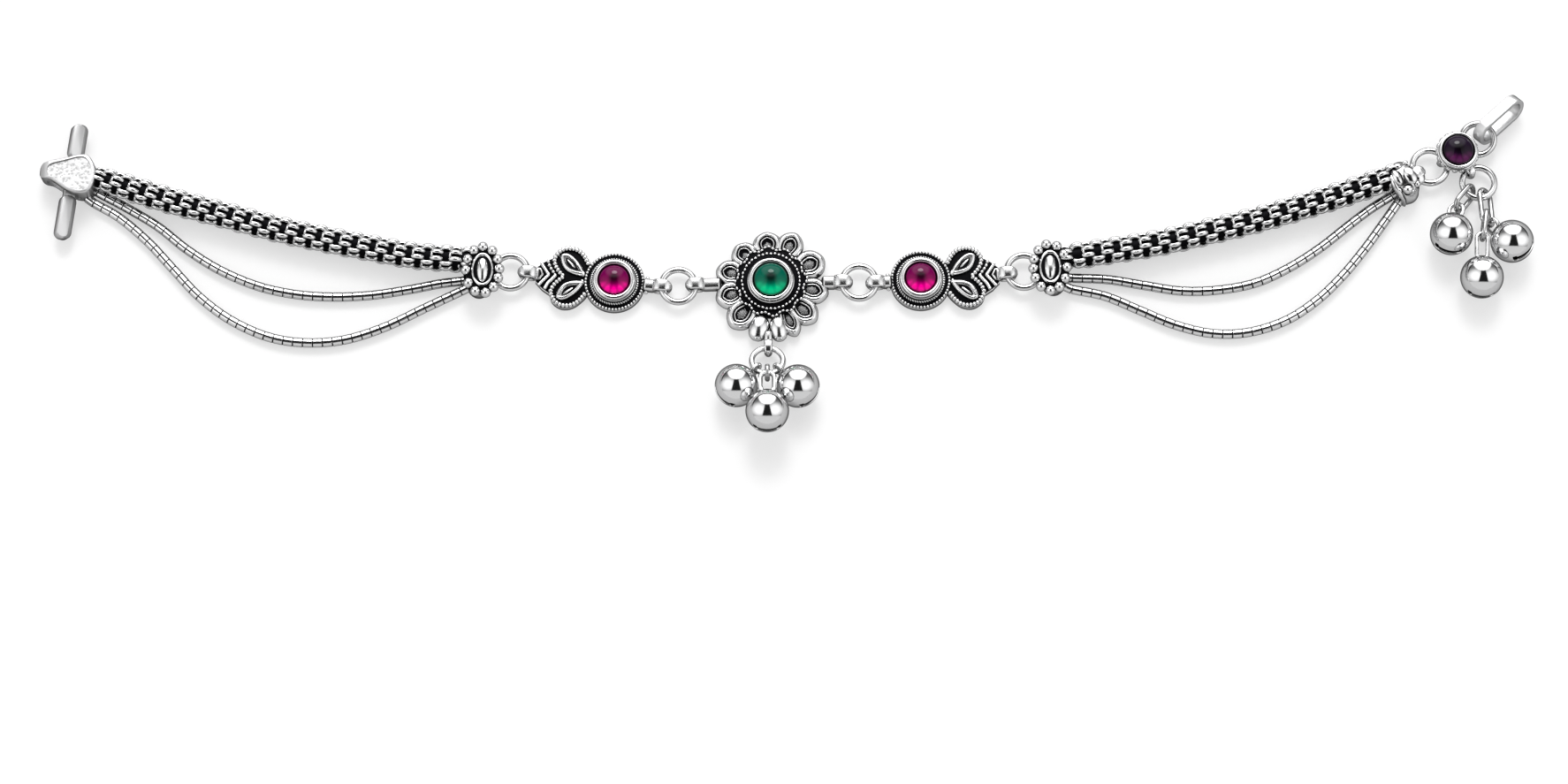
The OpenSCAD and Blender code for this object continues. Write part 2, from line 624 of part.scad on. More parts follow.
// Links of the end drop, each given by the far ends of its wire's middle line and its roll
drop_links = [[[122.51, 13.98, 1.35], [119.23, 9.8, 2.78], 56, 1.45],
    [[124.54, 13.68, 1.24], [124.68, 6.78, 2.67], 44.8, 1.5],
    [[124.38, 9.21, 2.98], [123.49, 3.93, 3.5], 90, 1]];
function rolled_side(a, b, roll) =
    let (x = unit(b - a), s = unit(cross(x, [0, 0, 1]))) cos(roll) * s + sin(roll) * cross(s, x);
module drop_link(k) {
    a = drop_links[k][0];
    b = drop_links[k][1];
    end_r = drop_links[k][3];
    color(silver) in_place() aimed((a + b) / 2, b - a, cross(b - a, rolled_side(a, b, drop_links[k][2])))
        oval_link(norm(b - a) / 2 - end_r, end_r, link_wire_r);
}

// The outer bells hang on their links by short eyes, the middle one by a long eye
module drop_bell(at, hook, wire_way, room) {
    reach = hook - at;
    aimed_bell(at, reach, wire_way, norm(reach) + room, 1.28, 0.36);
}
module drop_bell_left() {
    link = drop_links[0];
    drop_bell(drop_left_at, link[1], rolled_side(link[0], link[1], link[2]), 0.93);
}
module drop_bell_right() {
    drop_bell(drop_right_at, [125.4, 7.05, 1.88], [-0.5, -0.58, 0.64], 0.93);
}
module drop_bell_middle() {
    aimed_bell(drop_middle_at, [0.058, 1, -0.045], [0, 0, 1], 8.25, 0.95, 0.36);
}

toggle_bar();
bar_cap();
woven_chain(left_woven_route, 0.8);  // left_woven_chain
snake_chain(left_inner_route);  // left_inner_snake_chain
snake_chain(left_outer_route);  // left_outer_snake_chain
left_terminal();
jump_ring(left_terminal_ring_at, mid_ring_r);  // left_terminal_ring
left_leaf_setting();
red_stone(left_gem_at);  // left_red_stone
jump_ring(left_flower_ring_at, mid_ring_r);  // left_flower_ring
flower_setting();
green_cabochon();
jump_ring(right_flower_ring_at, mid_ring_r);  // right_flower_ring
right_leaf_setting();
red_stone(right_gem_at);  // right_red_stone
jump_ring(right_terminal_ring_at, mid_ring_r);  // right_terminal_ring
right_terminal();
woven_chain(right_woven_route, 0.82);  // right_woven_chain
snake_chain(right_inner_route);  // right_inner_snake_chain
snake_chain(right_outer_route);  // right_outer_snake_chain
end_cap();
jump_ring(end_ring_at, end_ring_r);  // end_ring
end_bezel();
purple_cabochon();
clasp_ring();
oblong_loop();
jump_ring(drop_ring_at, small_ring_r);  // drop_ring
cluster_ring();
cluster_link();
ring_bell(cluster_left_at, 221.7);  // cluster_bell_left
cluster_bell_middle();
ring_bell(cluster_right_at, -43.2);  // cluster_bell_right
drop_link(0);  // drop_link_left
drop_link(1);  // drop_link_right
drop_link(2);  // drop_link_middle
drop_bell_left();
drop_bell_middle();
drop_bell_right();
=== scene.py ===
"""Looks of an oxidised silver anklet that lies open on a pale table.

Sizes are in millimetres, measured from one point on the anklet. MM turns them into metres, and
REST_SHIFT moves that point so that the whole anklet is centred in the frame.
"""
import math
import random
from functools import partial

import bpy
from mathutils import Matrix, Vector


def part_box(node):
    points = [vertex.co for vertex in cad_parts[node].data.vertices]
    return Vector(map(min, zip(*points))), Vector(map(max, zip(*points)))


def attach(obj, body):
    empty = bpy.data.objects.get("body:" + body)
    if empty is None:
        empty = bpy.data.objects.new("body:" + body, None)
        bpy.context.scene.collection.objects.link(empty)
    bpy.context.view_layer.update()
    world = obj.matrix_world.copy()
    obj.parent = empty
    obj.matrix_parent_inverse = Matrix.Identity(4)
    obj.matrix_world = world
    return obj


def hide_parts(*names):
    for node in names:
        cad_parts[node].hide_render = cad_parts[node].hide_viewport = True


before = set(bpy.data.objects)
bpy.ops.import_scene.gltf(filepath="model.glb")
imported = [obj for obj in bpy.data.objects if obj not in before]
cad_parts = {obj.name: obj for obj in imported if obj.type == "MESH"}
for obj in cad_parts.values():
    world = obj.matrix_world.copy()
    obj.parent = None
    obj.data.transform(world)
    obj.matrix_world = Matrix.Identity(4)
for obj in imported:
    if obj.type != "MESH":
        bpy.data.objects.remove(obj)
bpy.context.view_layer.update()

MM = 0.001
REST_SHIFT = Vector((-0.45, 0.59, 0))
random.seed(5)

# Camera: where it stands and what it looks at, before the shift that centres the anklet
CAMERA_AT = Vector((0.31, -233.672, 734.217))
LOOKS_AT = Vector((0.31, -23.139, 0))
LENS = 100
SENSOR = 36

# Studio: brightness of its lights, and the dark gap between the side lights, as a polished ball shows it
TOP_LIGHT = 2.5
SPOT_LIGHT = 16
SIDE_LIGHT = 1.15
STUDIO_STRENGTH = 0.95
GAP_HALF = 0.17
GAP_FLARE = 0.234
GAP_LOW = -0.235

# Middles of the cast pieces and their turn about the upright
FLOWER_AT = (-2, -3.5)
LEFT_GEM_AT = (-29.6, -3.4)
RIGHT_GEM_AT = (24.4, -3)
LEFT_LEAF_TURN = 180 - 6.1
RIGHT_LEAF_TURN = 4
LEFT_TERMINAL_AT = (-52.7, -2)
RIGHT_TERMINAL_AT = (47.1, -1.5)
END_CAP_AT = (110.4, 15.2)
END_CAP_TURN = 22
END_BEZEL_AT = (119.8, 20.25)
END_RING_AT = (115, 18)
CLASP_RING_AT = (123.7, 23.06)
DROP_RING_AT = (123.5, 15)

STRAND = 0.8
BAIL_HOLE_H = 1.6
RING_Z = STRAND + BAIL_HOLE_H / 2
WIRE_R = 0.55
LINK_WIRE_R = 0.46
RING_R = 3
END_RING_R = 3.05
CLASP_RING_R = 2.85
CLASP_TURN = 42.3
PLATE_T = 1.4
BELL_R = 3.8

# Chains: points given one by one between their fittings
WOVEN_R = 2.55
WEAVE_PITCH = 3.3
WEAVE_SEEN = 0.96
WEAVE_CORE_R = 1.75
SNAKE_R = 0.95
SNAKE_PITCH = 1.75
SNAKE_SEEN_R = 0.83
SNAKE_JOINT = 0.09
LEFT_WOVEN = [(-121.5, 15.6, 3.2), (-113, 12.65, 3), (-105, 10.4, WOVEN_R), (-97, 8.2, WOVEN_R),
              (-89, 6, WOVEN_R), (-81, 4.2, WOVEN_R), (-73, 2.6, WOVEN_R), (-64.8, 1.1, WOVEN_R),
              (-56.6, 0.5, 2.4), (-55.2, 0.4, 2.4)]
RIGHT_WOVEN = [(49.7, 0.8, 2.4), (51.15, 1, 2.4), (59, 2.2, WOVEN_R), (67, 3.6, WOVEN_R),
               (75, 5.5, WOVEN_R), (83, 7.5, WOVEN_R), (91, 9.9, WOVEN_R), (99, 12.4, 2.8),
               (107, 15.2, 3.1), (108.6, 15.8, 3.1)]
SNAKE_ROUTES = {
    "left_inner_snake_chain": [
        (-122.8, 14.3), (-121.1, 13.2), (-116, 10.4), (-110.5, 7), (-105, 2.6), (-99, -1.2), (-92.5, -4),
        (-86, -5.5), (-79.3, -6), (-72.5, -5.7), (-66, -4.7), (-60.5, -3.6), (-56.8, -3.1),
        (-54.9, -2.8)],
    "left_outer_snake_chain": [
        (-123.3, 12.4), (-121.9, 11.35), (-117.3, 8.6), (-112.2, 4.2), (-107.5, -0.9), (-102.7, -6),
        (-97, -10.3), (-90.5, -13.3), (-84, -14.4), (-77, -13.9), (-70, -11.6), (-63, -8.1),
        (-56.95, -5.1), (-55.2, -4.2)],
    "right_inner_snake_chain": [
        (49.4, -2.3), (51.1, -2.5), (57.5, -2.8), (64, -3.9), (70.5, -4.9), (77, -4.7), (83.5, -3.4),
        (89.5, -0.6), (95, 3), (100, 7), (104, 10.1), (107.8, 12.6), (109.4, 13.7)],
    "right_outer_snake_chain": [
        (49.6, -3.8), (51.25, -4.6), (57, -5.9), (63, -8.5), (69, -11.1), (75.5, -12.7), (82, -12.5),
        (88.5, -10.4), (94, -6.8), (98.7, -2.3), (102.7, 2.5), (106, 7), (108.4, 10.4), (109.9, 12.6)],
}

# Flower: a petal's length from its root and half width as drawn, then each petal's direction, reach
# and half width
PETAL_ROOT = 4.5
PETAL_L = 6.05
PETAL_HALF_W = 2.5
PETALS = [(95, 9.5, 2.6), (64, 10.3, 2.4), (26, 10.5, 2.7), (-11, 10.4, 2.4), (-42, 10.7, 2.4),
          (-65, 10.8, 1.8), (-131, 10.8, 2.6), (-162, 10.2, 2.5), (166, 10, 2.4), (132, 9.3, 2.4)]
SOLID_PETALS = [(-81, 11.2, 1.6), (-104, 11.3, 1.8)]

# Half of a leaf's outline, from the gem out to the bail
LEAF_EDGE = [(4.2, 2.2), (5.1, 3.7), (6.8, 5.3), (8.8, 5.7), (10.5, 4.8), (11.2, 3.4)]
LEAF_END = [(12.6, 2.6), (13.9, 1.4)]
LEAF_TEETH = [(5.0, 2.85), (6.0, 4.3), (7.2, 5.1), (8.7, 5.25), (9.9, 4.75), (10.6, 3.9), (10.95, 3.0),
              (10.75, 2.1), (10.35, 1.4), (9.8, 0.75), (9.2, 0.2)]
LEAF_CHEVRON = [(10.5, 0.1), (11.05, 0.85), (11.6, 1.55), (12.0, 2.45)]
LEAF_RIDGE = [(11.7, 0.1), (12.2, 0.75), (12.75, 1.45), (13.1, 1.95)]
ALMOND = [(5.6, 0.8), (6.0, 1.9), (6.8, 2.95), (7.9, 3.85), (8.9, 4.15), (9.7, 3.7), (9.4, 2.3), (8.6, 1.3),
          (7.2, 0.75)]

CAP_EDGE = [(-131.5, 16.3), (-130.7, 17.7), (-127, 18.6), (-123.4, 19.3), (-121.8, 17.6),
            (-121.4, 15.4), (-122.2, 12.8), (-123.9, 12), (-126.4, 12.7), (-129.2, 14.6), (-131, 15.1)]

# Colours: a stone's are those of its top, painted darker as shade, its body, and its edge painted as
# glowing light, then the share of streaks in that painted light
# Painted shade: the grey that metal edges are painted where they turn away from the camera
PAINTED_EDGE_SHADE = (0.09, 0.09, 0.09, 1)
EDGE_TINT = (0.45, 0.45, 0.45, 1)
RED_STONE = ((0.1, 0, 0.045, 1), (0.14, 0, 0.05, 1), (0.85, 0, 0.27, 1), 0.5)
GREEN_STONE = ((0, 0.07, 0.045, 1), (0, 0.085, 0.05, 1), (0, 0.46, 0.2, 1), 0.25)
PURPLE_STONE = ((0.012, 0.006, 0.016, 1), (0.006, 0.002, 0.008, 1), (0.075, 0.01, 0.06, 1), 0.4)


# Hand tools

def nothing_selected():
    if bpy.context.object and bpy.context.object.mode != "OBJECT":
        bpy.ops.object.mode_set(mode="OBJECT")
    bpy.ops.object.select_all(action="DESELECT")


def hold(*pieces):
    nothing_selected()
    for piece in pieces:
        piece.select_set(True)
    bpy.context.view_layer.objects.active = pieces[0]


def added(name):
    """The primitive that was just added, with its place in its mesh."""
    piece = bpy.context.object
    piece.name = name
    bpy.ops.object.transform_apply(location=True, rotation=True, scale=True)
    return piece


def block(name, size, at=(0, 0, 0)):
    nothing_selected()
    bpy.ops.mesh.primitive_cube_add(size=MM, location=Vector(at) * MM, scale=size)
    return added(name)


def drum(name, radius, z0, z1, sides=64, fill="NGON"):
    nothing_selected()
    bpy.ops.mesh.primitive_cylinder_add(vertices=sides, radius=radius * MM, depth=(z1 - z0) * MM,
                                        end_fill_type=fill, location=(0, 0, (z0 + z1) / 2 * MM))
    return added(name)


def ball(name, radius, at=(0, 0, 0), segments=16, rings=10, scale=(1, 1, 1)):
    nothing_selected()
    bpy.ops.mesh.primitive_uv_sphere_add(segments=segments, ring_count=rings, radius=radius * MM,
                                         location=Vector(at) * MM, scale=scale)
    return added(name)


def hoop(name, radius, wire, segments=64, sides=16):
    nothing_selected()
    bpy.ops.mesh.primitive_torus_add(major_radius=radius * MM, minor_radius=wire * MM,
                                     major_segments=segments, minor_segments=sides)
    return added(name)


def sheet(name, outline, z):
    """A flat face with a given outline: a filled circle whose corners are set one by one."""
    nothing_selected()
    bpy.ops.mesh.primitive_circle_add(vertices=len(outline), radius=MM, fill_type="NGON")
    piece = added(name)
    turn_way = sum(a[0] * b[1] - a[1] * b[0] for a, b in zip(outline, outline[1:] + outline[:1]))
    points = outline if turn_way > 0 else outline[::-1]
    if piece.data.polygons[0].normal.z < 0:
        piece.data.flip_normals()
    order = list(piece.data.polygons[0].vertices)
    for corner, point in zip(order, points):
        piece.data.vertices[corner].co = Vector((point[0], point[1], z)) * MM
    piece.data.update()
    return piece


def pick(piece, kind, test):
    """Opens a piece for editing with the parts selected that pass a test of place and normal."""
    hold(piece)
    mesh = piece.data
    for group in (mesh.vertices, mesh.edges, mesh.polygons):
        group.foreach_set("select", [False] * len(group))
    if kind == "VERT":
        for v in mesh.vertices:
            v.select = test(v.co / MM, v.normal)
    elif kind == "EDGE":
        for e in mesh.edges:
            a, b = (mesh.vertices[i].co / MM for i in e.vertices)
            e.select = test((a + b) / 2, (b - a).normalized())
    else:
        for f in mesh.polygons:
            f.select = test(f.center / MM, f.normal)
    modes = ("VERT", "EDGE", "FACE")
    bpy.context.tool_settings.mesh_select_mode = tuple(kind == m for m in modes)
    bpy.ops.object.mode_set(mode="EDIT")


def put_down():
    bpy.ops.object.mode_set(mode="OBJECT")


def inset(thickness, depth=0.0):
    bpy.ops.mesh.inset(thickness=thickness * MM, depth=depth * MM, use_even_offset=True)


def raise_by(z):
    bpy.ops.mesh.extrude_region_move(TRANSFORM_OT_translate={"value": (0, 0, z * MM)})


def slide(x=0.0, y=0.0, z=0.0, **settings):
    bpy.ops.transform.translate(value=(x * MM, y * MM, z * MM), **settings)


def refine(piece, kind, **settings):
    hold(piece)
    modifier = piece.modifiers.new(kind.title(), kind)
    for key, value in settings.items():
        setattr(modifier, key, value)
    bpy.ops.object.modifier_apply(modifier=modifier.name)
    return piece


def soften(piece, width, segments=2, angle=35):
    return refine(piece, "BEVEL", width=width * MM, segments=segments, limit_method="ANGLE",
                  angle_limit=math.radians(angle), harden_normals=False)


def smoothed(piece, levels=1):
    return refine(piece, "SUBSURF", levels=levels, render_levels=levels)


def stain(piece, amount):
    """How black each vertex is, from 0 to 1: one value, or a rule of its place, where yes is 1."""
    layer = piece.data.attributes.get("stain")
    if layer is None:
        layer = piece.data.attributes.new("stain", "FLOAT", "POINT")
    for vertex, item in zip(piece.data.vertices, layer.data):
        item.value = amount(vertex.co / MM) if callable(amount) else amount
    return piece


def moved(piece, matrix):
    piece.data.transform(matrix)
    if matrix.determinant() < 0:
        piece.data.flip_normals()
    piece.data.update()
    return piece


def spot(x, y, z=0.0, turn=0.0):
    return Matrix.Translation(Vector((x, y, z)) * MM) @ Matrix.Rotation(math.radians(turn), 4, "Z")


def tilt(degrees, axis="X"):
    return Matrix.Rotation(math.radians(degrees), 4, axis)


def circle(degrees):
    """Cosine and sine of an angle."""
    return math.cos(math.radians(degrees)), math.sin(math.radians(degrees))


def settled(x, y, z=0.0, turn=0.0):
    """Place on the table, with the shift that centres the whole anklet."""
    return Matrix.Translation(REST_SHIFT * MM) @ spot(x, y, z, turn)


def axes(x_way, z_way):
    """Three square directions: X along one way, Z as near the other as it can be."""
    x = Vector(x_way).normalized()
    y = Vector(z_way).cross(x).normalized()
    return x, y, x.cross(y)


def aimed(at, x_way, z_way):
    """Place on the table for a piece whose X is turned one way and its Z another."""
    turn = Matrix(axes(x_way, z_way)).transposed().to_4x4()
    return Matrix.Translation((Vector(at) + REST_SHIFT) * MM) @ turn


def stretched(x, y, z):
    return Matrix.Diagonal((x, y, z, 1))


def around(count, radius, z, turn=0.0):
    """Places at even steps round a circle."""
    return [tilt(360 * k / count, "Z") @ spot(radius, 0, z, turn) for k in range(count)]


def copied(piece, matrices):
    """A copy of the piece at each place, each with its own mesh; the pattern is thrown away."""
    twins = []
    for matrix in matrices:
        twin = piece.copy()
        twin.data = piece.data.copy()
        bpy.context.scene.collection.objects.link(twin)
        twins.append(moved(twin, matrix))
    bpy.data.objects.remove(piece)
    return twins


def joined(name, pieces):
    for piece in pieces:
        if piece.data.attributes.get("stain") is None:
            stain(piece, 0)
    hold(*pieces)
    if len(pieces) > 1:
        bpy.ops.object.join()
    pieces[0].name = name
    return pieces[0]


def finished(name, pieces, place, material, *nodes, body="anklet", smooth=35):
    """Joins the pieces of one solid, moves the whole to its place and says what it replaces."""
    piece = moved(joined(name, pieces), place)
    hold(piece)
    bpy.ops.object.shade_smooth_by_angle(angle=math.radians(smooth))
    piece.data.materials.clear()
    piece.data.materials.append(MATERIALS[material])
    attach(piece, body)
    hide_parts(*nodes)
    return piece


# Work on a piece

def dropped(piece, kind, test):
    """Takes away the vertices or faces that pass a test."""
    pick(piece, kind, test)
    bpy.ops.mesh.delete(type=kind)
    put_down()
    return piece


def closed(piece, test):
    """Fills the hole whose edges pass a test."""
    pick(piece, "EDGE", test)
    bpy.ops.mesh.edge_face_add()
    put_down()
    return piece


def shifted(piece, test, **way):
    """Moves the vertices that pass a test."""
    pick(piece, "VERT", test)
    slide(**way)
    put_down()
    return piece


def pulled_apart(ring, half):
    """Makes a ring long: its two halves move apart along X."""
    for sign in (1, -1):
        shifted(ring, lambda c, n: c.x * sign > 0.001, x=sign * half)
    return ring


def round_corners(piece, width, segments, test):
    pick(piece, "EDGE", test)
    bpy.ops.mesh.bevel(offset=width * MM, segments=segments)
    put_down()
    return piece


def upright(place, way):
    """Test for edges that stand up."""
    return abs(way.z) > 0.9


def across_it(place, way):
    """Test for edges that run along Y."""
    return abs(way.y) > 0.9


def carved(piece, *cuts):
    """Booleans one after the other; each uses up its tool."""
    for operation, tool in cuts:
        refine(piece, "BOOLEAN", operation=operation, solver="EXACT", object=tool)
        bpy.data.objects.remove(tool)
    return piece


def thickened(piece, height, steps=(), last=0.0):
    """Raises a flat piece, steps its top inwards by each width and height, then raises what is left."""
    pick(piece, "FACE", lambda c, n: True)
    raise_by(height)
    for width, rise in steps:
        inset(width, rise)
    if last:
        raise_by(last)
    put_down()
    return piece


def slab(name, outline, z, height, steps=(), last=0.0):
    """A flat piece with an outline; its top steps in by each width and height, then rises by the last."""
    return thickened(sheet(name, outline, z), height, steps, last)


# Curves

def spline_step(a, b, c, d, t):
    return 0.5 * (2 * b + (c - a) * t + (2 * a - 5 * b + 4 * c - d) * t * t
                  + (3 * b - a - 3 * c + d) * t ** 3)


def on_route(points, u):
    last = len(points) - 1
    s = min(max(u, 0) * last, last - 0.0001)
    i = math.floor(s)
    near = [Vector(points[min(max(i + k, 0), last)]) for k in (-1, 0, 1, 2)]
    return spline_step(*near, s - i)


def on_ring(points, u):
    n = len(points)
    s = (u % 1) * n
    i = math.floor(s)
    near = [Vector(points[(i + k) % n]) for k in (-1, 0, 1, 2)]
    return spline_step(*near, s - i)


def outline_of(points, corners):
    """Corners at even steps of a closed curve."""
    return [on_ring(points, k / corners) for k in range(corners)]


def even_steps(points, count, fine=400):
    """Shares of a route at which pieces stand the same distance apart, from its start to its end."""
    at = [on_route(points, k / fine) for k in range(fine + 1)]
    run = [0.0]
    for a, b in zip(at, at[1:]):
        run.append(run[-1] + (b - a).length)
    shares, k = [], 0
    for step in range(count):
        goal = run[-1] * step / (count - 1)
        while k < fine - 1 and run[k + 1] < goal:
            k += 1
        shares.append((k + (goal - run[k]) / max(run[k + 1] - run[k], 1e-9)) / fine)
    return shares, run[-1]


def route_length(points):
    return even_steps(points, 2)[1]


def heading(points, u, reach):
    return on_route(points, min(u + reach, 1)) - on_route(points, max(u - reach, 0))


def along(points, u):
    """Frame on a route: X ahead, Y to the left, Z up."""
    return aimed(on_route(points, u), heading(points, u, 0.004), (0, 0, 1))


# Finishes

def node_of(tree, kind, **settings):
    node = tree.nodes.new("ShaderNode" + kind)
    for key, value in settings.items():
        setattr(node, key, value)
    return node


def plug(tree, socket, value):
    """Gives a socket its value, or links it where the value is another node's output."""
    if isinstance(value, bpy.types.NodeSocket):
        tree.links.new(value, socket)
    elif value is not None:
        socket.default_value = value


def feed(tree, node, values):
    for name, value in values.items():
        plug(tree, node.inputs[name], value)
    return node


def math_node(tree, operation, a, b=None, clamp=False):
    node = node_of(tree, "Math", operation=operation, use_clamp=clamp)
    plug(tree, node.inputs[0], a)
    plug(tree, node.inputs[1], b)
    return node.outputs[0]


def sums(tree):
    """The sums that a tree's values need, as short functions: plus, minus and times."""
    return [partial(math_node, tree, kind) for kind in ("ADD", "SUBTRACT", "MULTIPLY")]


def mix_colour(tree, share, a, b):
    node = node_of(tree, "Mix", data_type="RGBA")
    for socket, value in ((node.inputs["Factor"], share), (node.inputs[6], a), (node.inputs[7], b)):
        plug(tree, socket, value)
    return node.outputs[2]


def ramp(tree, value, low, high):
    node = node_of(tree, "MapRange", interpolation_type="SMOOTHSTEP")
    return feed(tree, node, {"Value": value, "From Min": low, "From Max": high}).outputs["Result"]


def noise(tree, place, scale, detail):
    node = node_of(tree, "TexNoise")
    return feed(tree, node, {"Vector": place, "Scale": scale, "Detail": detail}).outputs["Fac"]


def new_group(name, inputs, outputs):
    group = bpy.data.node_groups.new(name, "ShaderNodeTree")
    for label, kind, value in inputs:
        socket = group.interface.new_socket(label, in_out="INPUT", socket_type="NodeSocket" + kind)
        socket.default_value = value
    for label, kind in outputs:
        group.interface.new_socket(label, in_out="OUTPUT", socket_type="NodeSocket" + kind)
    return group, group.nodes.new("NodeGroupInput"), group.nodes.new("NodeGroupOutput")


def oxidised_group():
    """Silver with black left in its low places: a painted stain, plus what crevices gather."""
    group, given, made = new_group(
        "Oxidised silver",
        [("Silver", "Color", (0.85, 0.85, 0.86, 1)), ("Black", "Color", (0.006, 0.006, 0.007, 1)),
         ("Crevice size", "Float", 0.0006), ("Crevice strength", "Float", 1.0),
         ("Polish", "Float", 0.12), ("Grain", "Float", 0.1)],
        [("Colour", "Color"), ("Roughness", "Float"), ("Height", "Float")])
    cloud_scale, cloud_share, wear_scale, stain_roughness = 1400, 0.35, 5200, 0.4
    plus, minus, times = sums(group)
    place = node_of(group, "TexCoord").outputs["Object"]
    painted = node_of(group, "Attribute", attribute_name="stain").outputs["Fac"]
    crevice = node_of(group, "AmbientOcclusion", samples=4, only_local=True)
    feed(group, crevice, {"Distance": given.outputs["Crevice size"]})
    gathered = times(minus(1, crevice.outputs["AO"]), given.outputs["Crevice strength"])
    uneven = times(minus(noise(group, place, cloud_scale, 4), 0.5), cloud_share)
    black = ramp(group, plus(gathered, times(gathered, uneven)), 0.42, 0.72)
    soaked = math_node(group, "MAXIMUM", black, painted, clamp=True)
    wear = noise(group, place, wear_scale, 3)
    bright = plus(given.outputs["Polish"], times(wear, given.outputs["Grain"]))
    feed(group, made, {
        "Colour": mix_colour(group, soaked, given.outputs["Silver"], given.outputs["Black"]),
        "Roughness": plus(bright, times(soaked, stain_roughness), clamp=True), "Height": wear})
    return group


def stone_group():
    """Look of depth in a clear domed stone, painted: dark middle as a painted reflection, dim top as
    painted shade, glowing lower edge with radial streaks as painted light, dark rim as painted shade.
    """
    group, given, made = new_group(
        "Stone depth and painted light",
        [("Place", "Vector", (0, 0, 0)), ("Top", "Color", (0.1, 0, 0.05, 1)),
         ("Body", "Color", (0.3, 0, 0.12, 1)), ("Painted glow", "Color", (0.9, 0.02, 0.35, 1)),
         ("Streaks", "Float", 0.4)],
        [("Colour", "Color")])
    streak_count, painted_reflection_share, black = 11, 0.88, (0.002, 0.001, 0.002, 1)
    plus, minus, times = sums(group)
    parts = feed(group, node_of(group, "SeparateXYZ"), {"Vector": given.outputs["Place"]})
    x, y = parts.outputs[0], parts.outputs[1]
    reach = math_node(group, "SQRT", plus(times(x, x), times(y, y)))
    wave = math_node(group, "SINE", times(math_node(group, "ARCTAN2", y, x), streak_count))
    streak = times(times(wave, given.outputs["Streaks"]), reach)
    # Painted light: the lower edge glows, with radial streaks in it
    low = times(ramp(group, times(y, -1), 0.05, 0.75), ramp(group, reach, 0.3, 0.75))
    lit = plus(low, times(low, streak), clamp=True)
    # Painted shade: the top is darker than the body
    upper = mix_colour(group, ramp(group, y, -0.2, 0.6), given.outputs["Body"], given.outputs["Top"])
    glowing = mix_colour(group, lit, upper, given.outputs["Painted glow"])
    # Painted reflection: the dark middle stands for the studio's dark gap seen in the stone; the dark rim
    # below is painted shade
    core = minus(1, ramp(group, reach, 0.12, 0.5))
    shade = math_node(group, "MAXIMUM", times(core, painted_reflection_share), ramp(group, reach, 0.86, 1.0))
    feed(group, made, {"Colour": mix_colour(group, shade, glowing, black)})
    return group


def blank_material(name):
    material = bpy.data.materials.new(name)
    material.use_nodes = True
    return material, material.node_tree, material.node_tree.nodes["Principled BSDF"]


def silver(name, group, tone=0.86, polish=0.12, grain=0.08, crevice=0.6, strength=1.0, bump=0.02):
    """A finish of the metal, with painted shade: its edges are painted grey where they turn away from the
    camera.
    """
    material, tree, shader = blank_material(name)
    finish = feed(tree, node_of(tree, "Group", node_tree=group), {
        "Silver": (tone, tone, tone * 1.005, 1), "Crevice size": crevice * MM, "Crevice strength": strength,
        "Polish": polish, "Grain": grain})
    relief = feed(tree, node_of(tree, "Bump"), {
        "Strength": 0.3, "Distance": bump * MM, "Height": finish.outputs["Height"]})
    # Painted shade: the base colour turns grey at edges that face away from the camera
    painted_edge_shade_share = ramp(tree, node_of(tree, "LayerWeight").outputs["Facing"], 0.52, 0.93)
    feed(tree, shader, {
        "Metallic": 1, "Base Color": mix_colour(tree, painted_edge_shade_share, finish.outputs["Colour"], PAINTED_EDGE_SHADE),
        "Specular Tint": EDGE_TINT, "Roughness": finish.outputs["Roughness"],
        "Normal": relief.outputs["Normal"]})
    return material


def stone(name, group, node, top, body, glow, streaks):
    """A stone's colours, its painted light and shade among them, follow its own middle and radius, read
    from the frame; the same colours glow from it as painted light.
    """
    material, tree, shader = blank_material(name)
    low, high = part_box(node)
    radius = (high.x - low.x) / 2
    centred = feed(tree, node_of(tree, "Mapping", vector_type="TEXTURE"), {
        "Vector": node_of(tree, "TexCoord").outputs["Object"],
        "Location": (low + high) / 2, "Scale": (radius, radius, radius)})
    depth = feed(tree, node_of(tree, "Group", node_tree=group), {
        "Place": centred.outputs[0], "Top": top, "Body": body, "Painted glow": glow, "Streaks": streaks})
    feed(tree, shader, {
        # Painted light: the stone glows with its own colours, painted light and shade included
        "Base Color": depth.outputs["Colour"], "Emission Color": depth.outputs["Colour"],
        "Emission Strength": 0.3, "Roughness": 0.03, "IOR": 1.52, "Specular IOR Level": 0.14})
    return material


def make_materials():
    oxidised, depth = oxidised_group(), stone_group()
    return {
        "cast": silver("Cast silver", oxidised, tone=0.83, crevice=0.9, strength=1.15),
        "wire": silver("Silver wire", oxidised, tone=0.76, polish=0.1, crevice=0.5, strength=0.6),
        # Links get a darker tone and stronger crevice black: partly patina, partly painted shade for the
        # shadows among the links and bells
        "link": silver("Dark link silver, patina and painted shade", oxidised, tone=0.55, crevice=1.1, strength=1.5),
        "satin": silver("Satin silver", oxidised, tone=0.71, polish=0.28, grain=0.2, strength=0.7,
                        bump=0.05),
        "woven": silver("Woven silver", oxidised, tone=0.8, crevice=0.8, strength=1.3),
        "snake": silver("Snake chain silver", oxidised, tone=0.9, polish=0.14, crevice=0.25, strength=0.9),
        "bell": silver("Bell silver", oxidised, polish=0.08, grain=0.03, crevice=0.4, strength=0.6,
                       bump=0.005),
        "left_red": stone("Left red stone", depth, "left_red_stone", *RED_STONE),
        "right_red": stone("Right red stone", depth, "right_red_stone", *RED_STONE),
        "green": stone("Green stone", depth, "green_cabochon", *GREEN_STONE),
        "purple": stone("Purple stone", depth, "purple_cabochon", *PURPLE_STONE),
    }


MATERIALS = make_materials()


# Pieces that repeat

